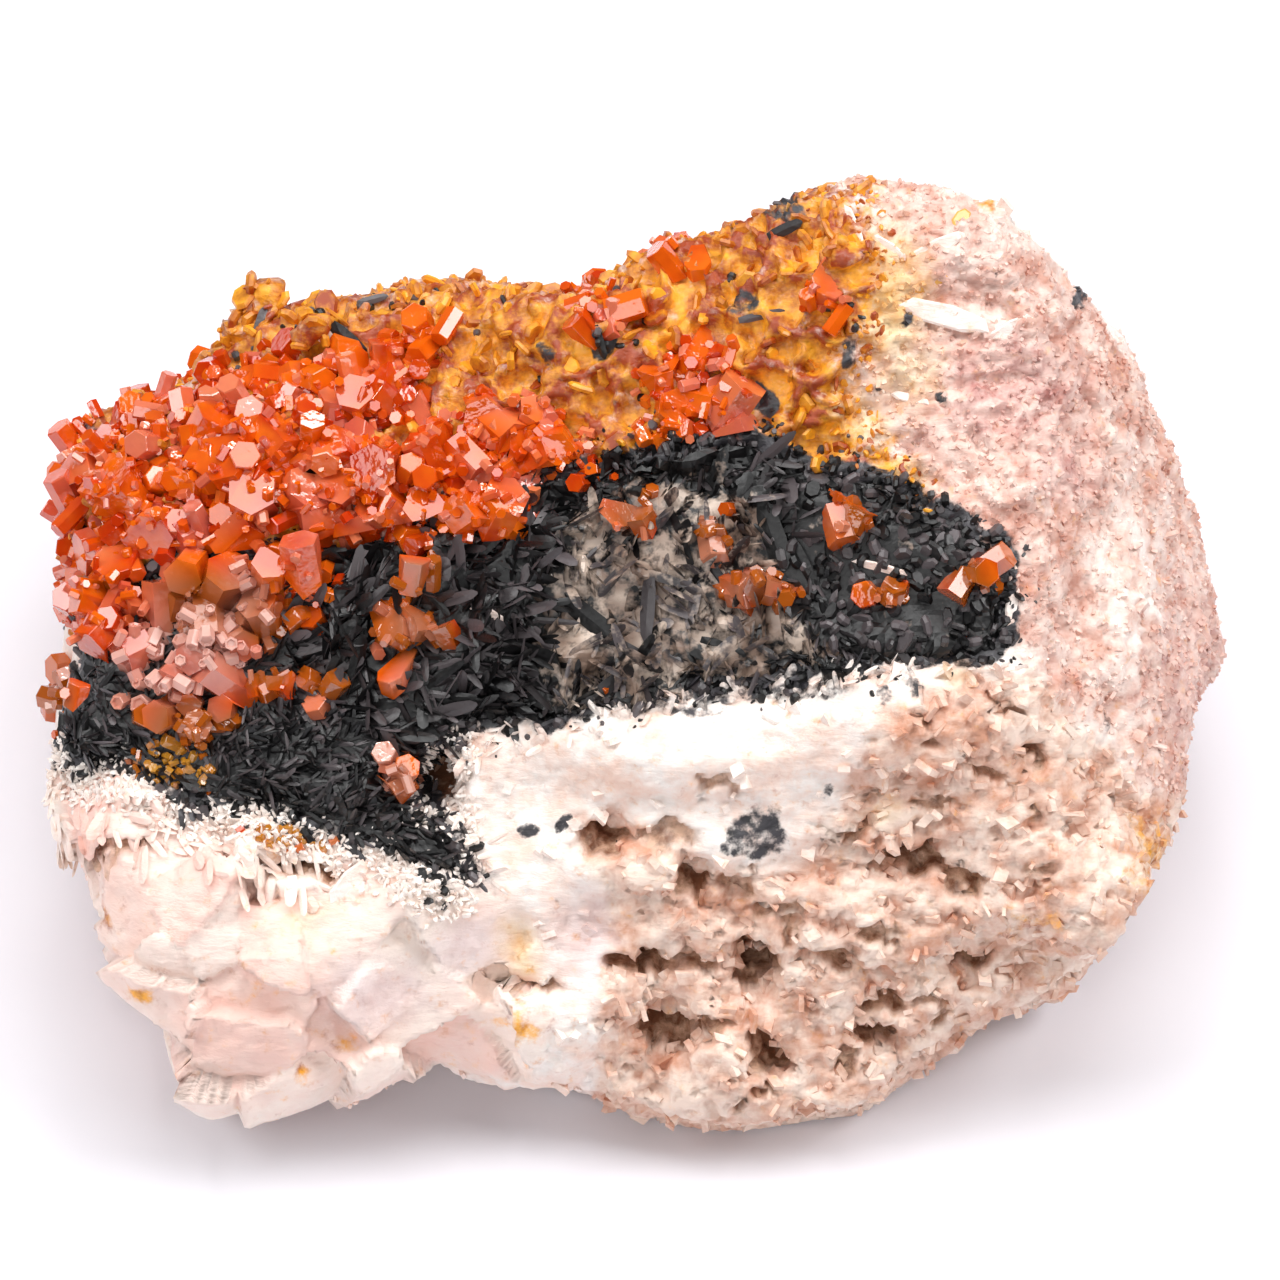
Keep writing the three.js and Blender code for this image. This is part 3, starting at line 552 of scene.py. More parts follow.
def barite_material(colours):
    """Barite: a soft, milky white spar, sugary or cleaved, stained by iron and manganese, with painted shade in
    its hollows.

    It gives the eye a bright, hazy body with small sparkling faces, and clouds of stain with ragged edges.
    """
    material, put, place = surface_material("massive barite")
    # Each ground: the mark it follows, the size of its clouds in mm, and how ragged its edge is.
    grounds = (
        ("white", 2.2, 0.0), ("pink", 2.2, 0.9), ("rose", 1.5, 1.2), ("cream", 7.0, 0.4), ("lilac", 4.0, 0.5),
        ("cave", 2.2, 0.8), ("honey", 2.2, 0.5), ("ochre", 1.5, 2.0),
        ("pit", SPECK_CLOUD, 0.5), ("black", SPECK_CLOUD, 1.3),
    )
    # Marks that darken a ground, and by how much: the walls of the ochre shells, the depth of the hollows as
    # painted shade, and a tint for each cleaved face. Then the part of its clouds in which a ground turns dark.
    deepened = {"ochre": ("wall", 0.14), "pit": ("deep", 0.25), "cream": ("facet", 0.34)}
    ramps = {"ochre": (0.42, 0.68), "cream": (0.5, 0.86)}
    edge = put(NOISE, {"Vector": place, "Scale": 1 / 0.9, "Detail": 3.0, "Roughness": 0.65})
    # Grounds with clouds of one size share them.
    clouds = {size: put(NOISE, {"Vector": place, "Scale": 1 / size, "Detail": 4.0, "Roughness": 0.62})
              for _, size, _ in grounds}
    ground = None
    for name, size, ragged in grounds:
        cloud = clouds[size]
        if name in deepened:
            mark, amount = deepened[name]
            mark = put(MARK, attribute_name=mark)
            cloud = put(TIMES_PLUS, {0: mark, 1: amount, 2: cloud})
        tint = put(RAMP, {"Fac": cloud})
        light, dark = tint.color_ramp.elements
        light.position, dark.position = ramps.get(name, (0.4, 0.66))
        light.color = (*getattr(colours, name + "_light"), 1)
        dark.color = (*getattr(colours, name + "_dark"), 1)
        if ground is None:
            ground = tint
            continue
        share = put(MARK, attribute_name=name)
        torn = put(TIMES_PLUS, {0: edge, 1: ragged, 2: share})
        middle, half = 0.5 * ragged + 0.5, 0.2 if name == "black" else 0.42
        cover = put(EASED, {"Value": torn, "From Min": middle - half, "From Max": middle + half})
        ground = put(BLEND, {"Factor": cover, "A": ground, "B": tint})
    # Specks of black oxide, a few tenths of a mm across, where the finest clouds are thickest.
    speck = put(RANGE, {"Value": clouds[SPECK_CLOUD], "From Min": 0.68, "From Max": 0.74})
    speck = put(TIMES, {0: speck, 1: put(MARK, attribute_name="specks")})
    ground = put(BLEND, {"Factor": speck, "A": ground, "B": colours.speck})
    # Sugar grains: each cell, half a mm wide, has a gloss of its own.
    grains = put(CELLS, {"Vector": place, "Scale": 1 / 0.5})
    gloss = put("ShaderNodeSeparateColor", {"Color": grains.outputs["Color"]})
    rough = put(RANGE, {"Value": gloss, "To Min": 0.3, "To Max": 0.7})
    # Fibres, a quarter of a mm thick, run along the band and stand out as fine bump.
    drawn = put(STRETCHED, {0: place, 1: (0.9, 2.6, 3.4)})
    fibre = put(NOISE, {"Vector": drawn, "Scale": 1.0, "Detail": 3.0, "Roughness": 0.65})
    bump = put(BUMP, {"Strength": 0.6, "Distance": 0.16 * MM, "Height": fibre})
    shader = put(PRINCIPLED, {"Base Color": ground, "Roughness": rough, "Normal": bump, "IOR": 1.64})
    put(OUTPUT, {"Surface": shader})
    return material


def blade_material(colours):
    """Barite blades with a skin of manganese oxide: black, with a painted grey sheen on some, tan where the
    skin is off.
    """
    material, put, place = surface_material("manganese-coated barite blades")
    # Blades with a high shade turn grey: a painted sheen, standing in for the light on their satin faces.
    shade = put(MARK, attribute_name="shade")
    dark = put(RANGE, {"Value": shade, "From Min": 0.45, "From Max": 1.0})
    black = put(BLEND, {"Factor": dark, "A": colours.black, "B": colours.sheen})
    cover = put(NOISE, {"Vector": place, "Scale": 1 / 1.0, "Detail": 3.0, "Roughness": 0.65})
    bare = put(PLUS, {0: put(MARK, attribute_name="tan"), 1: cover})
    shown = put(RANGE, {"Value": bare, "From Min": 1.06, "From Max": 1.24})
    pale = put(NOISE, {"Vector": place, "Scale": 1 / 2.4, "Detail": 2.0})
    light = put(RANGE, {"Value": pale, "From Min": 0.4, "From Max": 0.65})
    tan = put(BLEND, {"Factor": light, "A": colours.tan, "B": colours.tan_light})
    body = put(BLEND, {"Factor": shown, "A": black, "B": tan})
    # Fine growth lines, a fifth of a mm apart, break the sheen.
    fine = put(NOISE, {"Vector": place, "Scale": 1 / 0.25, "Detail": 2.0})
    rough = put(RANGE, {"Value": fine, "To Min": 0.2, "To Max": 0.6})
    bump = put(BUMP, {"Strength": 0.4, "Distance": 0.05 * MM, "Height": fine})
    shader = put(PRINCIPLED, {
        "Base Color": body, "Roughness": rough, "Normal": bump, "IOR": 1.8, "Specular IOR Level": 0.3})
    put(OUTPUT, {"Surface": shader})
    return material


def vanadinite_material(colours):
    """Vanadinite: resinous red-orange with a glow inside and bright faces, frosted in places, with a painted
    pink reflection on some crystals.
    """
    material, put, place = surface_material("vanadinite crystal")
    cloud = put(NOISE, {"Vector": place, "Scale": 1 / 1.4, "Detail": 2.0})
    shade = put(MARK, attribute_name="shade")
    glow = put(PLUS, {0: cloud, 1: shade})
    glow = put(RANGE, {"Value": glow, "From Min": 0.45, "From Max": 1.4})
    body = put(BLEND, {"Factor": glow, "A": colours.red, "B": colours.orange})
    for name in ("brown", "golden", "frost"):
        share = put(MARK, attribute_name=name)
        body = put(BLEND, {"Factor": share, "A": body, "B": getattr(colours, name)})
    # Some crystals are painted pink: a painted reflection that stands in for the bright sky their faces mirror.
    bloom = put(MARK, attribute_name="bloom")
    body = put(BLEND, {"Factor": bloom, "A": body, "B": colours.frost})
    frost = put(MARK, attribute_name="frost")
    rough = put(RANGE, {"Value": frost, "To Min": 0.08, "To Max": 0.35})
    # Growth steps on the faces, over half a mm wide.
    fine = put(NOISE, {"Vector": place, "Scale": 1 / 0.6, "Detail": 2.0})
    bump = put(BUMP, {"Strength": 0.5, "Distance": 0.08 * MM, "Height": fine})
    # The full specular level keeps the shine of a high index, and the lower index the depth of the red.
    shader = put(PRINCIPLED, {
        "Base Color": body, "Roughness": rough, "Normal": bump, "IOR": 1.6, "Specular IOR Level": 1.0,
        "Transmission Weight": 0.22})
    put(OUTPUT, {"Surface": shader})
    return material


def ochre_material(colours):
    """Barite petals soaked with iron: amber with brown rims."""
    material, put, place = surface_material("iron-stained barite")
    cloud = put(NOISE, {"Vector": place, "Scale": 1 / 1.3, "Detail": 5.0, "Roughness": 0.62})
    shade = put(MARK, attribute_name="shade")
    deep = put(TIMES_PLUS, {0: shade, 1: 0.3, 2: cloud})
    deep = put(RANGE, {"Value": deep, "From Min": 0.5, "From Max": 0.85})
    body = put(BLEND, {"Factor": deep, "A": colours.ochre_light, "B": colours.ochre_dark})
    rim = put(TIMES, {0: put(MARK, attribute_name="rim"), 1: 0.35})
    body = put(BLEND, {"Factor": rim, "A": body, "B": colours.ochre_dark})
    shader = put(PRINCIPLED, {"Base Color": body, "Roughness": 0.4, "IOR": 1.64})
    put(OUTPUT, {"Surface": shader})
    return material


def spar_material(colours, name, light, dark):
    """Fresh barite blades and needles: glassy white or honey, glossy enough to sparkle."""
    material, put, place = surface_material(name)
    cloud = put(NOISE, {"Vector": place, "Scale": 1 / 1.2, "Detail": 3.0})
    shade = put(MARK, attribute_name="shade")
    tone = put(TIMES, {0: cloud, 1: shade})
    tone = put(RANGE, {"Value": tone, "From Min": 0.1, "From Max": 0.6})
    body = put(BLEND, {"Factor": tone, "A": getattr(colours, light), "B": getattr(colours, dark)})
    shader = put(PRINCIPLED, {"Base Color": body, "Roughness": 0.25, "IOR": 1.64})
    put(OUTPUT, {"Surface": shader})
    return material


def druse_tree():
    """One tree for all that grows in numbers on a surface: plates, needles, grains and prisms.

    Where names the mark that says how densely it grows. Each piece lies along the mark lie, turned by up to
    Spread either way where the ground is loose, lifted off the ground and rolled about its length.
    """
    tree = bpy.data.node_groups.new("Druse", "GeometryNodeTree")
    put = partial(add, tree)
    kinds = {
        "Geometry": "Geometry", "Shape": "Object", "Material": "Material", "Where": "String", "Seed": "Int"}
    sizes = ("Density", "Spacing", "Spread", "Lift Min", "Lift Max", "Roll", "Length Min", "Length Max",
             "Width Min", "Width Max", "Flatness")
    for name, kind in {**kinds, **dict.fromkeys(sizes, "Float")}.items():
        tree.interface.new_socket(name, in_out="INPUT", socket_type="NodeSocket" + kind)
    tree.interface.new_socket("Geometry", in_out="OUTPUT", socket_type="NodeSocketGeometry")
    given = put("NodeGroupInput").outputs
    where = put(FIELD, {"Name": given["Where"]})
    loose = put(FIELD, {"Name": "loose"})
    size = put(FIELD, {"Name": "size"})
    lie = put(FIELD, {"Name": "lie"}, data_type="FLOAT_VECTOR")
    points = put("GeometryNodeDistributePointsOnFaces", {
        "Mesh": given["Geometry"], "Distance Min": given["Spacing"], "Density Max": given["Density"],
        "Density Factor": where, "Seed": given["Seed"]}, distribute_method="POISSON")
    normal = points.outputs["Normal"]
    # What is drawn for each piece: its range, and what the drawn value is multiplied with.
    draws = {
        "yaw": (-1.0, 1.0, given["Spread"]), "lift": (given["Lift Min"], given["Lift Max"], loose),
        "roll": (-1.0, 1.0, given["Roll"]), "wide": (given["Width Min"], given["Width Max"], size),
        "long": (given["Length Min"], given["Length Max"], size), "shade": (0.0, 1.0, 1.0),
    }
    for seed, (name, (least, most, factor)) in enumerate(draws.items(), 1):
        value = put(DRAW, {"Min": least, "Max": most, "Seed": seed})
        draws[name] = put(TIMES, {0: value, 1: factor})
    yaw = put(TIMES, {0: draws["yaw"], 1: loose})
    ahead = put(TURN, {"Vector": lie, "Axis": normal, "Angle": yaw})
    rise = put(SCALED, {0: normal, "Scale": draws["lift"]})
    along = put(SHIFTED, {0: ahead, 1: rise})
    face = put(TURN, {"Vector": normal, "Axis": along, "Angle": draws["roll"]})
    turn = put("FunctionNodeAxesToRotation", {"Primary Axis": along, "Secondary Axis": face},
               primary_axis="X", secondary_axis="Z")
    thick = put(TIMES, {0: draws["wide"], 1: given["Flatness"]})
    scale = put("ShaderNodeCombineXYZ", {"X": draws["long"], "Y": draws["wide"], "Z": thick})
    shape = put("GeometryNodeObjectInfo", {"Object": given["Shape"]})
    grown = put("GeometryNodeInstanceOnPoints", {
        "Points": points, "Instance": shape.outputs["Geometry"], "Rotation": turn, "Scale": scale})
    shaded = put(STORE, {"Geometry": grown, "Name": "shade", "Value": draws["shade"]}, domain="INSTANCE")
    real = put("GeometryNodeRealizeInstances", {"Geometry": shaded})
    clad = put("GeometryNodeSetMaterial", {"Geometry": real, "Material": given["Material"]})
    put("NodeGroupOutput", {"Geometry": clad})
    return tree


def relief_tree():
    """The rock's own relief: broken everywhere, grainy, pitted, cleaved or folded where the marks say so."""
    tree = bpy.data.node_groups.new("Relief", "GeometryNodeTree")
    put = partial(add, tree)
    for name in ("Geometry", "Roughness", "Grain", "Pit Depth", "Flake", "Fold"):
        kind = "Geometry" if name == "Geometry" else "Float"
        tree.interface.new_socket(name, in_out="INPUT", socket_type="NodeSocket" + kind)
    tree.interface.new_socket("Geometry", in_out="OUTPUT", socket_type="NodeSocketGeometry")
    given = put("NodeGroupInput").outputs
    place = put(SCALED, {0: put("GeometryNodeInputPosition"), "Scale": 1 / MM})
    bent = put(NOISE, {"Vector": place, "Scale": 1 / 1.5, "Detail": 2.0})
    swirl = put(SCALED, {0: bent.outputs["Color"], "Scale": 1.6})
    warped = put(SHIFTED, {0: place, 1: swirl})
    # Sharp crests, 2.6 mm apart, broken up finely.
    broad = put(NOISE, {"Vector": place, "Scale": 1 / 2.6, "Detail": 5.0, "Roughness": 0.68})
    crest = put(MINUS, {0: broad, 1: 0.5})
    crest = put(MATH, {0: crest}, operation="ABSOLUTE")
    crest = put(TIMES_PLUS, {0: crest, 1: -4.0, 2: 0.4})
    # Grains under a mm across.
    fine = put(CELLS, {"Vector": place, "Scale": 1 / 0.8})
    grain = put(MINUS, {0: 0.45, 1: fine})
    # Small torn pits, longer along the band than across it.
    layered = put(STRETCHED, {0: warped, 1: (0.55, 1.0, 1.15)})
    torn = put(NOISE, {"Vector": layered, "Scale": 1 / 1.7, "Detail": 4.0, "Roughness": 0.6})
    pit = put(EASED, {"Value": torn, "From Min": 0.55, "From Max": 0.63, "To Max": -1.0})
    # Flat flakes, 5 mm across, each tilted its own way.
    flakes = put(CELLS, {"Vector": place, "Scale": 1 / 5.0})
    tilt = put(APART, {0: flakes.outputs["Color"], 1: (0.5, 0.5, 0.5)})
    out = put(APART, {0: place, 1: flakes.outputs["Position"]})
    flake = put(DOT, {0: tilt, 1: out}).outputs["Value"]
    # Shells, 2.6 mm across, with thin walls standing round them.
    shells = put(CELLS, {"Vector": warped, "Scale": 1 / 2.6}, feature="DISTANCE_TO_EDGE")
    fold = put(EASED, {"Value": shells, "From Min": 0.2, "From Max": 0.0})
    tint = put(DOT, {0: flakes.outputs["Color"], 1: (1.0, 0.0, 0.0)}).outputs["Value"]
    marked = given["Geometry"]
    for name, value in (("wall", fold), ("facet", tint)):
        marked = put(STORE, {"Geometry": marked, "Name": name, "Value": value}, domain="POINT")
    # Each form with its height and the mark that says where it shows.
    terms = ((crest, "Roughness", "broken"), (grain, "Grain", "pink"), (pit, "Pit Depth", "cave"),
             (flake, "Flake", "cream"), (fold, "Fold", "shells"))
    total = None
    for form, size, mark in terms:
        share = put(FIELD, {"Name": mark})
        part = put(TIMES, {0: form, 1: given[size]})
        part = put(TIMES, {0: part, 1: share})
        total = put(PLUS, {0: total, 1: part}) if total else part
    push = put(SCALED, {0: put("GeometryNodeInputNormal"), "Scale": total})
    sink = put(FIELD, {"Name": "sink"}, data_type="FLOAT_VECTOR")
    push = put(SHIFTED, {0: push, 1: sink})
    free = put(FIELD, {"Name": "free"})
    push = put(SCALED, {0: push, "Scale": free})
    moved = put("GeometryNodeSetPosition", {"Geometry": marked, "Offset": push})
    put("NodeGroupOutput", {"Geometry": moved})
    return tree


def shaped(mesh, make_tree, values):
    """The mesh that a tree makes of a mesh. Values are inputs of the tree by name."""
    work = object_of("work", mesh)
    tree = bpy.data.node_groups.get(make_tree.__name__) or make_tree()
    tree.name = make_tree.__name__
    modifier = work.modifiers.new("Tree", "NODES")
    modifier.node_group = tree
    for socket in tree.interface.items_tree:
        if socket.in_out == "INPUT" and socket.name in values:
            modifier[socket.identifier] = values[socket.name]
    return applied(work)


def grow(carrier, shape, material, where, seed, density, spacing, lengths, widths, **others):
    """The mesh of a druse grown over a carrier. Density is per square mm, spacing, lengths and widths in mm."""
    pattern = object_of("shape", shape)
    pattern.hide_render = True
    values = {"Spread": math.pi, "Lift": (0.0, 1.2), "Roll": math.pi, "Flatness": 1.0, **others}
    lift = values.pop("Lift")
    values |= {
        "Shape": pattern, "Material": material, "Where": where, "Seed": seed, "Density": density / MM**2,
        "Spacing": spacing * MM, "Lift Min": lift[0], "Lift Max": lift[1], "Length Min": lengths[0] * MM,
        "Length Max": lengths[1] * MM, "Width Min": widths[0] * MM, "Width Max": widths[1] * MM,
    }
    mesh = shaped(carrier.copy(), druse_tree, values)
    bpy.data.objects.remove(pattern)
    mesh.materials.clear()
    mesh.materials.append(material)
    mesh.polygons.foreach_set("material_index", [0] * len(mesh.polygons))
    return mesh


def plate_shape():
    """A pointed plate, one long and one wide: a rim of ten corners and a low ridge on both sides."""
    rim = [(-0.15, 0.34), (0.05, 0.48), (0.45, 0.5), (0.74, 0.38), (0.85, 0.1)]
    rim += [(x, -y) for x, y in reversed(rim)]
    places = [(x, y, 0.0) for x, y in rim]
    count = len(places)
    places += [(0.1, 0, 0.5), (0.55, 0, 0.5), (0.1, 0, -0.5), (0.55, 0, -0.5)]
    faces = []
    for low, high in ((count, count + 1), (count + 2, count + 3)):
        for i in range(count):
            j = (i + 1) % count
            middle = (rim[i][0] + rim[j][0]) / 2
            faces.append((i, j, low if middle < 0.33 else high))
        faces += [(2, high, low), (count - 3, low, high)]
    return mesh_of("plate", places, faces)


def table_shape():
    """An angular table of barite, one long and one wide, with bevelled edges; rim marks its edge."""
    rim = [(-0.5, -0.18), (-0.3, -0.5), (0.22, -0.44), (0.5, -0.1), (0.42, 0.36), (0.05, 0.5), (-0.38, 0.3)]
    count = len(rim)
    places = [(x, y, 0.0) for x, y in rim] + [(0.8 * x, 0.8 * y, z) for z in (0.5, -0.5) for x, y in rim]
    faces = [list(range(count, 2 * count)), list(range(2 * count, 3 * count))]
    for i in range(count):
        j = (i + 1) % count
        faces += [(i, j, count + j, count + i), (i, j, 2 * count + j, 2 * count + i)]
    mesh = mesh_of("table", places, faces)
    keep(mesh, rim=np.repeat((1.0, 0.0), (count, 2 * count)))
    return mesh


def prism_shape(hollow=False):
    """A six-sided prism, one long and one across, its foot sunk, its end chamfered or hollow as if etched."""
    stations = [(-0.2, 0.5), (0.765, 0.5), (0.8, 0.465)]
    if hollow:
        stations += [(0.8, 0.36), (0.66, 0.27)]
    corners = [(math.cos(a), math.sin(a)) for a in np.arange(6) * math.pi / 3]
    places = [(x, c * r, s * r) for x, r in stations for c, s in corners]
    faces = [[6 * k + i, 6 * k + (i + 1) % 6, 6 * k + 6 + (i + 1) % 6, 6 * k + 6 + i]
             for k in range(len(stations) - 1) for i in range(6)]
    faces += [list(range(6)), list(range(len(places) - 6, len(places)))]
    return mesh_of("prism", places, faces)


def grain_shape():
    """A leaning block, one across, as barite breaks and grows."""
    places = [(x + 0.25 * y, y, z) for z in (-0.5, 0.5) for y in (-0.5, 0.5) for x in (-0.5, 0.5)]
    faces = [(0, 1, 3, 2), (4, 5, 7, 6), (0, 1, 5, 4), (2, 3, 7, 6), (0, 2, 6, 4), (1, 3, 7, 5)]
    return mesh_of("grain", places, faces)


def laid_blades(name, blades, shape, ground, material):
    """Single blades from the list, laid on the ground where the line of sight through their ends meets it."""
    outline = points_of(shape)[0] * MM
    outline[:, 0] -= outline[:, 0].min()
    outline[:, 0] /= outline[:, 0].max()
    faces = [list(p.vertices) for p in shape.polygons]
    pieces = []
    for i, (*ends, width, lean) in enumerate(blades):
        hits = []
        for x, y in (ends[:2], ends[2:]):
            across, above = in_view((x, y))
            start = RIGHT * across + UP * (above + ORIGIN_BELOW) + TOWARDS * 100
            hits.append(ground.ray_cast(Vector(start * MM), Vector(-TOWARDS)))
        if any(hit[0] is None for hit in hits):
            raise ValueError(f"a blade of {name} misses the ground: {ends}")
        first, last = (np.array(hit[0]) / MM for hit in hits)
        along = last - first
        normal = np.array(hits[0][1]) + np.array(hits[1][1]) + TOWARDS
        side = np.cross(normal, along)
        side /= np.linalg.norm(side)
        up = np.cross(along, side)
        up /= np.linalg.norm(up)
        side, up = side * math.cos(lean) + up * math.sin(lean), up * math.cos(lean) - side * math.sin(lean)
        placed = first + up * BLADE_GAP + outline @ np.array((along, side * width, up * BLADE_THICKNESS))
        mesh = mesh_of("blade", placed * MM, faces)
        keep(mesh, shade=(i * 0.37) % 1.0, tan=0.0)
        mesh.materials.append(material)
        pieces.append(mesh)
    return joined(pieces, "shade", "tan")


def ground_marks(mesh):
    """Stores on a ground mesh which kind of ground each vertex is and what grows there."""
    places, normals = points_of(mesh)
    # The outlines wander by about a mm, and the mouths of the hollows more finely.
    spots = seen(places + 0.9 * wander(places, 4.0) + 0.4 * wander(places, 1.1))
    torn = seen(places + 1.1 * wander(places, 1.6) + 0.5 * wander(places, 0.6))
    across, above = spots.T
    facing = normals @ TOWARDS
    front = smooth(-0.35, 0.1, facing)
    free, clear = smooth(0.1, 1.4, places[:, 2]), smooth(0.8, 2.0, places[:, 2])
    to_crust = distance_to(places, ["black_blade_crust"], 6.0)
    to_crystals = distance_to(places, VANADINITE_NODES, 4.0)
    # The kinds of ground and their stains.
    black_rim = smooth(1.3, 0.2, to_crust + 1.1 * wander(places, 1.6)[:, 0])
    black = np.maximum(black_rim, patch_weight(spots, BLACK_SPOTS) * front)
    rose, pale, lilac, honey, rust = (
        patch_weight(spots, patches, *STAIN_FADE)
        for patches in (ROSE_PATCHES, PALE_PATCHES, LILAC_PATCHES, HONEY_PATCHES, RUST_PATCHES))
    ochre = within(spots, OCHRE_RIM, 2.2) * smooth(-0.75, -0.2, facing)
    pink = (within(spots, PINK_FLANK, 1.8) * front + 0.55 * (1 - front)) * (1 - ochre) * (1 - pale)
    cream = within(spots, CREAM_MASSES, 0.9)
    cave = within(spots, CAVERNS, 1.2) * front
    plain = front * (1 - cream) * (1 - pink) * (1 - ochre) * (1 - black)
    # The hollows are deepest at their upper edge. Their colour is partly a tan stain and partly painted shade,
    # which darkens with depth. Dents have neither.
    depth, mouth = np.zeros(len(places)), np.zeros(len(places))
    for x, y, half_width, half_height, deepest in HOLLOWS:
        offset = (torn - in_view((x, y))) * PIXELS_PER_MM / (1.15 * half_width, half_height)
        weight = smooth(1.25, 0.6, np.linalg.norm(offset, axis=1)) * front
        depth = np.maximum(depth, deepest * weight * (0.75 + 0.3 * np.clip(offset[:, 1], -1, 1)))
        mouth = np.maximum(mouth, weight * min(1.0, 0.5 + 0.25 * deepest))
    for *dent, deepest in DENTS:
        depth += deepest * patch_weight(spots, [(*dent, 1.0)], 1.4, 0.2) * front
    # What grows where.
    red, brown, frost, golden = (patch_weight(spots, patches) for patches in CRYSTAL_PATCHES)
    frost, golden = frost * front * clear, golden * front * clear
    beside = front * (1 - mouth)
    keep(
        mesh, size=1.0, loose=1.0, lie=along_surface(normals, 0.5 * RIGHT - UP), free=free,
        black=black, pink=pink, cream=cream, cave=cave, pit=mouth, deep=depth / 4.5, shells=ochre,
        ochre=np.maximum(ochre * (0.5 + 0.5 * front), 0.9 * rust * front),
        rose=rose * pink, lilac=lilac * front, honey=honey * front,
        broken=1 - 0.5 * cream + 0.7 * cave + 0.8 * pink - 0.3 * plain,
        specks=np.maximum(0.9 * ochre, 0.75 * pink),
        sink=(0.35 * UP - TOWARDS) * depth[:, None] * MM,
        druse=np.maximum(red, brown) * front * clear * (1 - frost),
        brown=smooth(0.05, 0.4, np.maximum(brown, golden) - red),
        frost=frost * (frost > red), golden=golden,
        soot=ochre * front * clear * smooth(0.0, 0.3, wander(places, 4.0)[:, 2]),
        crumbs=smooth(0.05, 0.4, ochre) * smooth(1.0, 0.7, ochre) * front * clear * (1 - black),
        petals=smooth(0.3, 0.9, ochre) * clear * (1 - black) * smooth(0.6, 2.4, to_crystals)
        * smooth(-0.4, 0.1, facing),
        grains=smooth(0.2, 0.7, pink) * clear * (1 - mouth),
        flakes=np.maximum(0.5 * cave, 0.15 * plain) * clear * (1 - mouth),
        needles=smooth(2.8, 1.4, to_crust) * smooth(0.1, 0.5, to_crust) * beside * (above < -5) * (across < -9),
        spikes=smooth(2.0, 1.0, to_crust) * smooth(0.2, 0.6, to_crust) * beside * (above < -1) * (across > -12),
        feathers=within(spots, FEATHERS, 0.8) * front * clear, fringe=black_rim * beside,
        spill=smooth(2.6, 0.6, to_crust) * front * smooth(0.0, 0.5, wander(places, 1.8)[:, 1]),
    )


class SPECIMEN_OT_barite(bpy.types.Operator):
    """The lump of barite with its caverns, cleaved masses and stains"""
    bl_idname = "specimen.barite"
    bl_label = "Barite matrix"

    def execute(self, context):
        sizes = context.scene.specimen.barite
        rock = remeshed(node_copy("barite_matrix"), sizes.cell)
        faces = np.empty(len(rock.polygons) * 3)
        rock.polygons.foreach_get("normal", faces)
        rock = refined(rock, faces.reshape(-1, 3) @ TOWARDS > IN_VIEW)
        ground_marks(rock)
        rock = shaped(rock, relief_tree, {
            "Roughness": sizes.roughness, "Grain": sizes.grain, "Pit Depth": sizes.pit_depth,
            "Flake": sizes.flake, "Fold": sizes.fold})
        places = points_of(rock)[0] * MM
        places[:, 2] = np.maximum(places[:, 2], 0.0)
        rock.vertices.foreach_set("co", places.ravel())
        rock.materials.append(barite_material(sizes))
        rock.polygons.foreach_set("use_smooth", [True] * len(rock.polygons))
        finish_piece("barite_lump", rock, "barite", "barite_matrix")
        return {"FINISHED"}


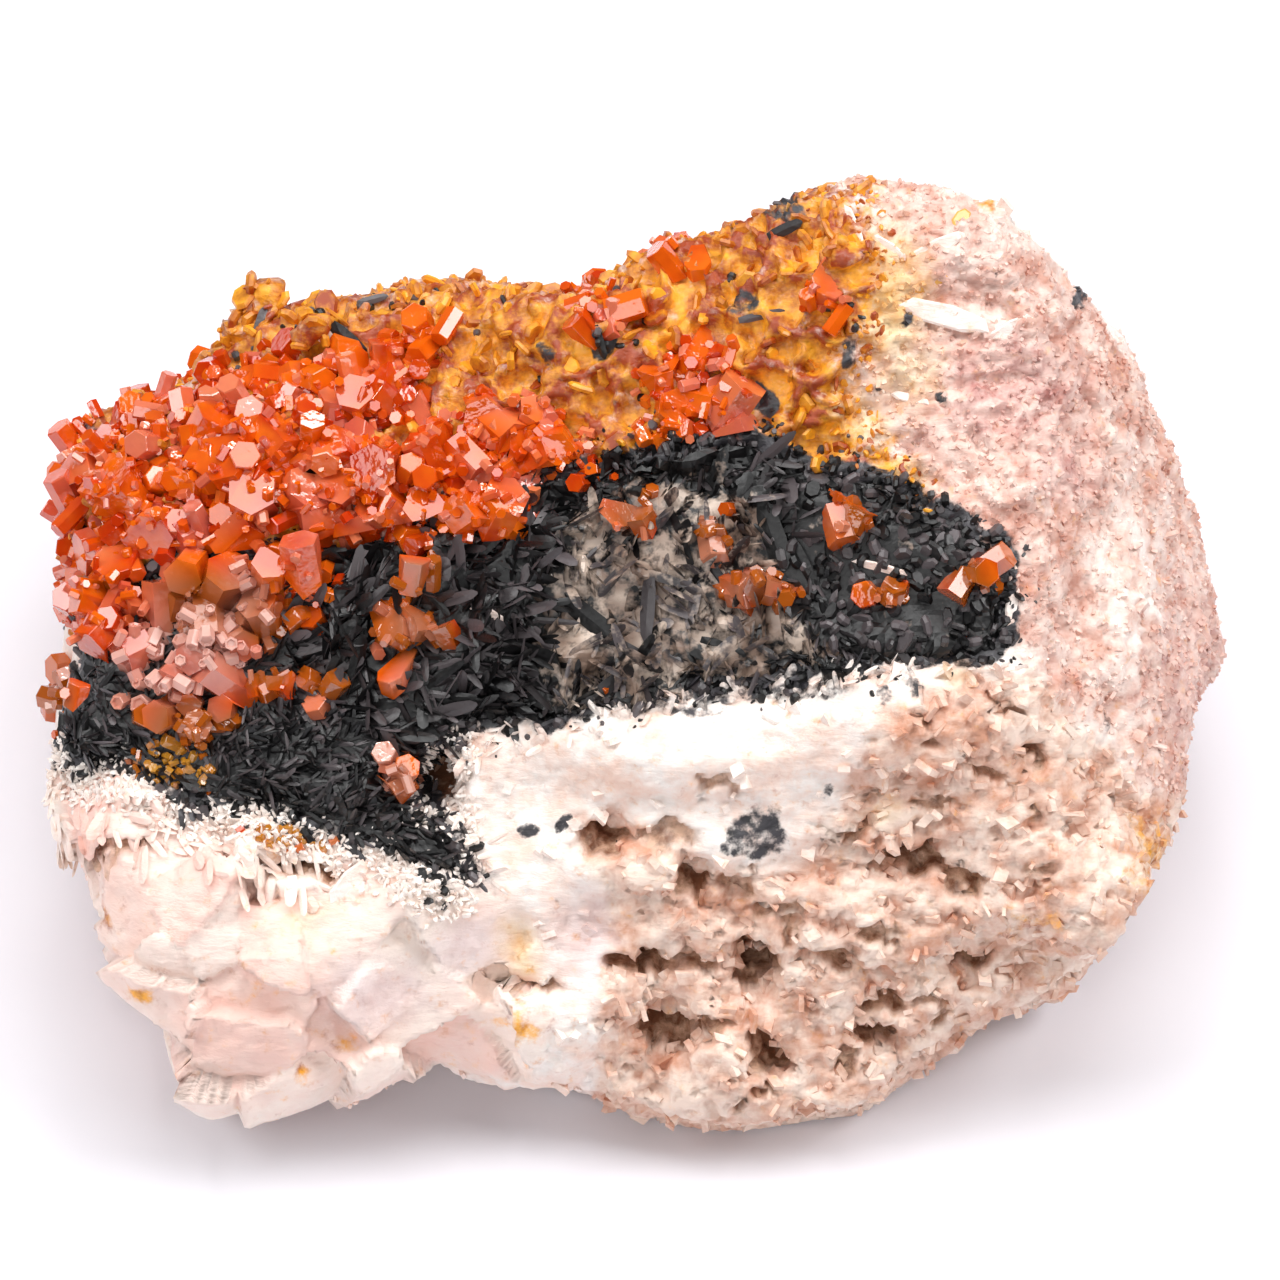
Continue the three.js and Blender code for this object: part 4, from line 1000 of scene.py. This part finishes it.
class SPECIMEN_OT_blades(bpy.types.Operator):
    """The band of black blades: needles at the left, broad leaves in the middle, knobbly grains at the right"""
    bl_idname = "specimen.blades"
    bl_label = "Black blades"

    def execute(self, context):
        sizes = context.scene.specimen.crust
        rock = mesh_named("barite_lump")
        bed = remeshed(node_copy("black_blade_crust"), sizes.cell)
        places, normals = points_of(bed)
        drift = wander(places, 2.5)
        spots = seen(places)
        # Towards the edge of the band the bed comes down to the rock and ends below its surface.
        edge = -outline_distance(spots + 1.1 * drift[:, :2] + 0.8 * wander(places, 1.2)[:, :2], BLACK_BAND)
        search = tree_of(rock)
        below = np.array([search.find_nearest(Vector(p) * MM)[0] for p in places]) / MM
        places = below + (places - below) * smooth(0.0, 2.4, edge)[:, None]
        places -= normals * (0.35 * smooth(1.6, 0.6, edge) + 0.6 * smooth(0.6, -0.4, edge))[:, None]
        # The largest hollow opens at the edge of the band, so the bed dips into it.
        *vug, vug_depth = HOLLOWS[0]
        dip = patch_weight(spots, [(*vug, 1.0)], 1.5, 1.1)
        places -= TOWARDS * (vug_depth * dip)[:, None]
        bed.vertices.foreach_set("co", (places * MM).ravel())
        leaves, lumps = within(spots, BROAD_LEAVES, 1.5), within(spots, BLACK_LUMPS, 1.5)
        clumps = smooth(-0.25, 0.15, wander(places, 2.0)[:, 1])
        tan = np.maximum(within(spots + 0.8 * drift[:, :2], TAN_BED, 1.5), 0.7 * lumps * (1 - clumps))
        shown = smooth(-0.3, 0.1, normals @ TOWARDS) * smooth(-0.8, -0.2, edge) * (1 - dip)
        swing = drift[:, :1] * 1.6
        keep(
            bed, lie=along_surface(normals, RIGHT * np.cos(swing) + UP * np.sin(swing)),
            leaves=shown * leaves * (1 - lumps) * (1 - 0.6 * tan), lumps=shown * lumps * (0.3 + 0.7 * clumps),
            needles=shown * (1 - lumps) * (1 - 0.75 * leaves) * (1 - 0.3 * tan), tan=0.6 * tan,
            loose=0.5 + 0.5 * tan, size=1.0, shade=0.3,
        )
        material = blade_material(sizes)
        needle, leaf, lump = (size / MM for size in (sizes.needle, sizes.leaf, sizes.lump))
        plate, table = plate_shape(), table_shape()
        parts = [
            grow(bed, plate, material, "needles", 3, 10.0, 0.27, (0.5 * needle, needle), (0.18, 0.42),
                 Spread=2.2, Lift=(0.0, 1.3), Roll=1.3, Flatness=0.35),
            grow(bed, plate, material, "leaves", 4, 3.2, 0.4, (0.4 * leaf, leaf), (0.35, 0.9),
                 Spread=2.4, Lift=(0.05, 1.1), Roll=1.3, Flatness=0.14),
            grow(bed, table, material, "lumps", 5, 4.0, 0.4, (0.5 * lump, 1.5 * lump), (0.4, 1.1),
                 Lift=(0.0, 2.0), Flatness=0.5),
        ]
        crumbs = [
            grow(rock, table, material, "spill", 6, 4.0, 0.25, (0.15, 0.5), (0.12, 0.4),
                 Lift=(0.0, 1.0), Flatness=0.5),
            grow(rock, table, material, "soot", 8, 0.4, 0.6, (0.3, 0.9), (0.25, 0.7),
                 Lift=(0.0, 1.0), Flatness=0.6),
            grow(rock, table, material, "fringe", 7, 4.0, 0.35, (0.4, 1.3), (0.3, 0.9),
                 Lift=(0.0, 1.6), Flatness=0.5),
        ]
        bed.materials.append(material)
        keep(bed, tan=0.7 * tan)
        ground = bed.copy()
        ground.name = "blade_bed"
        laid = laid_blades("charcoal_blades", CHARCOAL_BLADES, plate, tree_of(rock, ground), material)
        blades, crumbs = joined([*parts, bed], "shade", "tan"), joined(crumbs, "shade", "tan")
        finish_piece("black_blades", blades, "black_blades", "black_blade_crust")
        finish_piece("black_crumbs", crumbs, "black_blades")
        finish_piece("charcoal_blades", laid, "black_blades")
        return {"FINISHED"}


def settle(mesh, ground):
    """Flattens a crystal's triangles into faces and pushes its foot down into the ground below."""
    shape = bmesh.new()
    shape.from_mesh(mesh)
    bmesh.ops.dissolve_limit(shape, angle_limit=math.radians(2), verts=shape.verts, edges=shape.edges)
    pushes = {}
    for face in shape.faces:
        if face.normal.dot(Vector(TOWARDS)) > -0.5:
            continue
        start = face.calc_center_median() + face.normal * 0.01 * MM
        place, _, _, gap = ground.ray_cast(start, face.normal, FOOT_REACH * MM)
        if place is None:
            continue
        push = face.normal * (gap + FOOT_DEPTH * MM)
        for vert in face.verts:
            if push.length > pushes.get(vert, Vector()).length:
                pushes[vert] = push
    for vert, push in pushes.items():
        vert.co += push
    shape.to_mesh(mesh)
    shape.free()


def crystal_marks(mesh):
    """Stores on a crystal's mesh where it is brown, golden or frosted, and a shade and a painted pink
    reflection of its own.
    """
    places, _ = points_of(mesh)
    spots = seen(places)
    red, brown, frost, golden = (patch_weight(spots, patches) for patches in CRYSTAL_PATCHES)
    shade = np.array([noise.cell(Vector(p) / 2.5) for p in places])
    keep(
        mesh, brown=smooth(0.05, 0.4, brown - red), frost=0.4 * frost * (frost > red), golden=golden,
        shade=np.abs(shade) % 1.0, bloom=0.22 * smooth(0.1, 0.35, wander(places, 3.0)[:, 0]),
    )


class SPECIMEN_OT_crystals(bpy.types.Operator):
    """The leading vanadinite crystals, their feet set into the ground"""
    bl_idname = "specimen.crystals"
    bl_label = "Leading crystals"

    def execute(self, context):
        sizes = context.scene.specimen.crystals
        ground = tree_of(mesh_named("barite_lump"), mesh_named("black_blades"))
        material = vanadinite_material(sizes)
        for name in VANADINITE_NODES:
            mesh = node_copy(name)
            settle(mesh, ground)
            work = object_of("crystal", mesh)
            worn = work.modifiers.new("Edges", "BEVEL")
            worn.width = sizes.bevel
            worn.segments = 1
            worn.limit_method = "ANGLE"
            worn.angle_limit = math.radians(25)
            mesh = applied(work)
            crystal_marks(mesh)
            mesh.materials.append(material)
            finish_piece(name + "_worn", mesh, "vanadinite", name)
        return {"FINISHED"}


class SPECIMEN_OT_small_crystals(bpy.types.Operator):
    """The small vanadinite crystals between and on the leading ones"""
    bl_idname = "specimen.small_crystals"
    bl_label = "Small crystals"

    def execute(self, context):
        sizes = context.scene.specimen.crystals
        rock, bed = mesh_named("barite_lump"), bpy.data.meshes["blade_bed"]
        leading = joined([mesh_named(name + "_worn") for name in VANADINITE_NODES])
        ground_marks(bed)
        ground_marks(leading)
        keep(leading, size=0.8)
        material = leading.materials[0]
        prism, etched = prism_shape(), prism_shape(hollow=True)
        least, middle, most = (size / MM for size in (sizes.least, sizes.middle, sizes.most))
        # Widths, density and spacing.
        stout, small = ((middle, most), 0.9, 1.1), ((least, middle), 3.0, 0.5)
        sparse = (least, middle), 1.3, 0.7
        grown = []
        for seed, (carrier, (widths, density, spacing)) in enumerate(
                [(rock, stout), (bed, stout), (rock, small), (bed, small), (leading, sparse)], 21):
            lengths = 0.7 * widths[0], 1.25 * widths[1]
            grown.append(grow(carrier, prism, material, "druse", seed, density, spacing, lengths, widths,
                              Lift=(0.2, 2.6)))
        for seed, carrier in enumerate((rock, bed, leading)):
            grown.append(grow(carrier, etched, material, "frost", 31 + seed, 2.4, 0.7, (0.7, 1.3), (0.6, 1.3),
                              Lift=(0.6, 4.0)))
            grown.append(grow(carrier, prism, material, "golden", 41 + seed, 9.0, 0.28, (0.25, 0.65),
                              (0.25, 0.6)))
        druse = joined(grown, "shade", "brown", "golden", "frost")
        # One crystal in three is painted pink, a painted reflection of the bright sky.
        keep(druse, bloom=0.3 * smooth(0.66, 0.9, 7 * mark_of(druse, "shade") % 1.0))
        finish_piece("small_vanadinite", druse, "vanadinite")
        return {"FINISHED"}


class SPECIMEN_OT_petals(bpy.types.Operator):
    """Iron-stained barite petals along the back rim"""
    bl_idname = "specimen.petals"
    bl_label = "Ochre petals"

    def execute(self, context):
        rock, table = mesh_named("barite_lump"), table_shape()
        material = ochre_material(context.scene.specimen.barite)
        petals = grow(rock, table, material, "petals", 5, 0.6, 0.9, (0.7, 2.0), (0.6, 1.6),
                      Lift=(0.0, 1.4), Flatness=0.3)
        crumbs = grow(rock, table, material, "crumbs", 6, 2.4, 0.35, (0.2, 0.8), (0.2, 0.6), Flatness=0.4)
        finish_piece("ochre_petals", joined([petals, crumbs], "shade", "rim"), "barite")
        return {"FINISHED"}


class SPECIMEN_OT_spar(bpy.types.Operator):
    """White needles beside the black band, single blades, and grains and flakes of the rock itself"""
    bl_idname = "specimen.spar"
    bl_label = "Needles, blades and grains"

    def execute(self, context):
        colours = context.scene.specimen.barite
        rock = mesh_named("barite_lump")
        own = rock.materials[0]
        white = spar_material(colours, "fresh barite", "white_light", "cream_light")
        honey = spar_material(colours, "honey barite", "honey_dark", "ochre_light")
        plate, table, grain = plate_shape(), table_shape(), grain_shape()
        ground = tree_of(rock, bpy.data.meshes["blade_bed"])
        pieces = {
            "white_needles": grow(rock, plate, white, "needles", 7, 22.0, 0.16, (0.3, 0.8), (0.2, 0.42),
                                  Lift=(0.0, 1.6), Roll=1.4, Flatness=0.7),
            "white_feathers": grow(rock, plate, own, "feathers", 13, 2.4, 0.45, (0.9, 2.4), (0.3, 0.9),
                                   Spread=0.9, Lift=(-0.2, 0.3), Roll=0.8, Flatness=0.3),
            "white_spikes": grow(rock, plate, own, "spikes", 12, 5.0, 0.35, (0.5, 1.6), (0.2, 0.6),
                                 Lift=(0.2, 1.2), Roll=1.4, Flatness=0.4),
            "barite_flakes": grow(rock, grain, own, "flakes", 8, 1.2, 0.5, (0.3, 1.1), (0.3, 0.8),
                                  Flatness=0.5),
            "barite_grains": grow(rock, grain, own, "grains", 9, 3.0, 0.3, (0.12, 0.38), (0.12, 0.34),
                                  Lift=(0.0, 2.0), Flatness=0.8),
            "pale_blades": laid_blades("pale_blades", PALE_BLADES, table, ground, own),
            "honey_blades": laid_blades("honey_blades", HONEY_BLADES, table, ground, honey),
        }
        for name, mesh in pieces.items():
            finish_piece(name, mesh, "barite")
        return {"FINISHED"}


class SPECIMEN_OT_stage(bpy.types.Operator):
    """Pale floor, soft light and the camera"""
    bl_idname = "specimen.stage"
    bl_label = "Stage"

    def execute(self, context):
        sizes = context.scene.specimen.stage
        half = 1.5
        corners = [(-half, -half, 0), (half, -half, 0), (half, half, 0), (-half, half, 0)]
        floor = object_of("floor", mesh_of("floor", corners, [(0, 1, 2, 3)]))
        material, put, place = surface_material("matt white card")
        # The card's fibre, half a mm, shows as a slightly uneven gloss.
        fibre = put(NOISE, {"Vector": place, "Scale": 1 / 0.5, "Detail": 0.0})
        rough = put(RANGE, {"Value": fibre, "To Min": 0.85, "To Max": 0.95})
        shader = put(PRINCIPLED, {
            "Base Color": sizes.floor, "Roughness": rough, "Specular IOR Level": 0.0})
        put(OUTPUT, {"Surface": shader})
        floor.data.materials.append(material)
        aim = Vector(UP * ORIGIN_BELOW + TOWARDS * AIM_NEARER) * MM
        camera = bpy.data.objects.new("camera", bpy.data.cameras.new("camera"))
        context.scene.collection.objects.link(camera)
        camera.location = aim + Vector(TOWARDS) * sizes.distance
        camera.rotation_euler = (math.pi / 2 - SIGHT_ANGLE, 0, 0)
        camera.data.sensor_width = SENSOR
        camera.data.lens = SENSOR * sizes.distance / (PICTURE_WIDTH / PIXELS_PER_MM * MM)
        camera.data.clip_end = 10
        context.scene.camera = camera
        # Place in metres, edge of the square lamp in metres, power in watts.
        lamps = {
            "top": ((0.02, 0.15, 0.6), 0.5, 2.6), "left": ((-0.45, 0.0, 0.45), 0.3, 1.5),
            "right": ((0.42, 0.0, 0.45), 0.3, 2.1), "back": ((0.0, 0.5, 0.5), 0.12, 0.5),
            "front": ((-0.12, -0.5, 0.42), 0.4, 1.35), "spark": ((-0.2, 0.1, 0.6), 0.07, 0.25),
        }
        for name, (place, size, power) in lamps.items():
            lamp = bpy.data.lights.new(name, "AREA")
            lamp.size = size
            lamp.energy = power
            holder = bpy.data.objects.new(name, lamp)
            context.scene.collection.objects.link(holder)
            holder.location = place
            holder.rotation_euler = (aim - Vector(place)).to_track_quat("-Z", "Y").to_euler()
        world = bpy.data.worlds.new("studio")
        world.use_nodes = True
        put = partial(add, world.node_tree)
        way = put("ShaderNodeTexCoord").outputs["Generated"]
        high = put(DOT, {0: way, 1: (-0.2, 0.5, 0.84)}).outputs["Value"]
        glow = put(EASED, {
            "Value": high, "From Min": 0.3, "From Max": 0.95, "To Min": 0.36, "To Max": 1.8})
        back = world.node_tree.nodes["Background"]
        world.node_tree.links.new(glow.outputs["Result"], back.inputs["Strength"])
        context.scene.world = world
        context.scene.view_settings.view_transform = "Standard"
        return {"FINISHED"}


OPERATORS = (
    SPECIMEN_OT_barite, SPECIMEN_OT_blades, SPECIMEN_OT_crystals, SPECIMEN_OT_small_crystals,
    SPECIMEN_OT_petals, SPECIMEN_OT_spar, SPECIMEN_OT_stage,
)


class SPECIMEN_PT_pieces(bpy.types.Panel):
    """Lists the pieces of the specimen"""
    bl_idname = "SPECIMEN_PT_pieces"
    bl_label = "Vanadinite on barite"
    bl_space_type = "VIEW_3D"
    bl_region_type = "UI"
    bl_category = "Mineral"

    def draw(self, context):
        for operator in OPERATORS:
            self.layout.operator(operator.bl_idname)


CLASSES = (
    BariteSettings, CrustSettings, CrystalSettings, StageSettings, SpecimenSettings, *OPERATORS,
    SPECIMEN_PT_pieces,
)


def register():
    for cls in CLASSES:
        bpy.utils.register_class(cls)
    bpy.types.Scene.specimen = PointerProperty(type=SpecimenSettings)


def unregister():
    del bpy.types.Scene.specimen
    for cls in reversed(CLASSES):
        bpy.utils.unregister_class(cls)


def main():
    register()
    bpy.ops.specimen.barite()
    bpy.ops.specimen.blades()
    bpy.ops.specimen.crystals()
    bpy.ops.specimen.small_crystals()
    bpy.ops.specimen.petals()
    bpy.ops.specimen.spar()
    bpy.ops.specimen.stage()


if __name__ == "__main__":
    main()
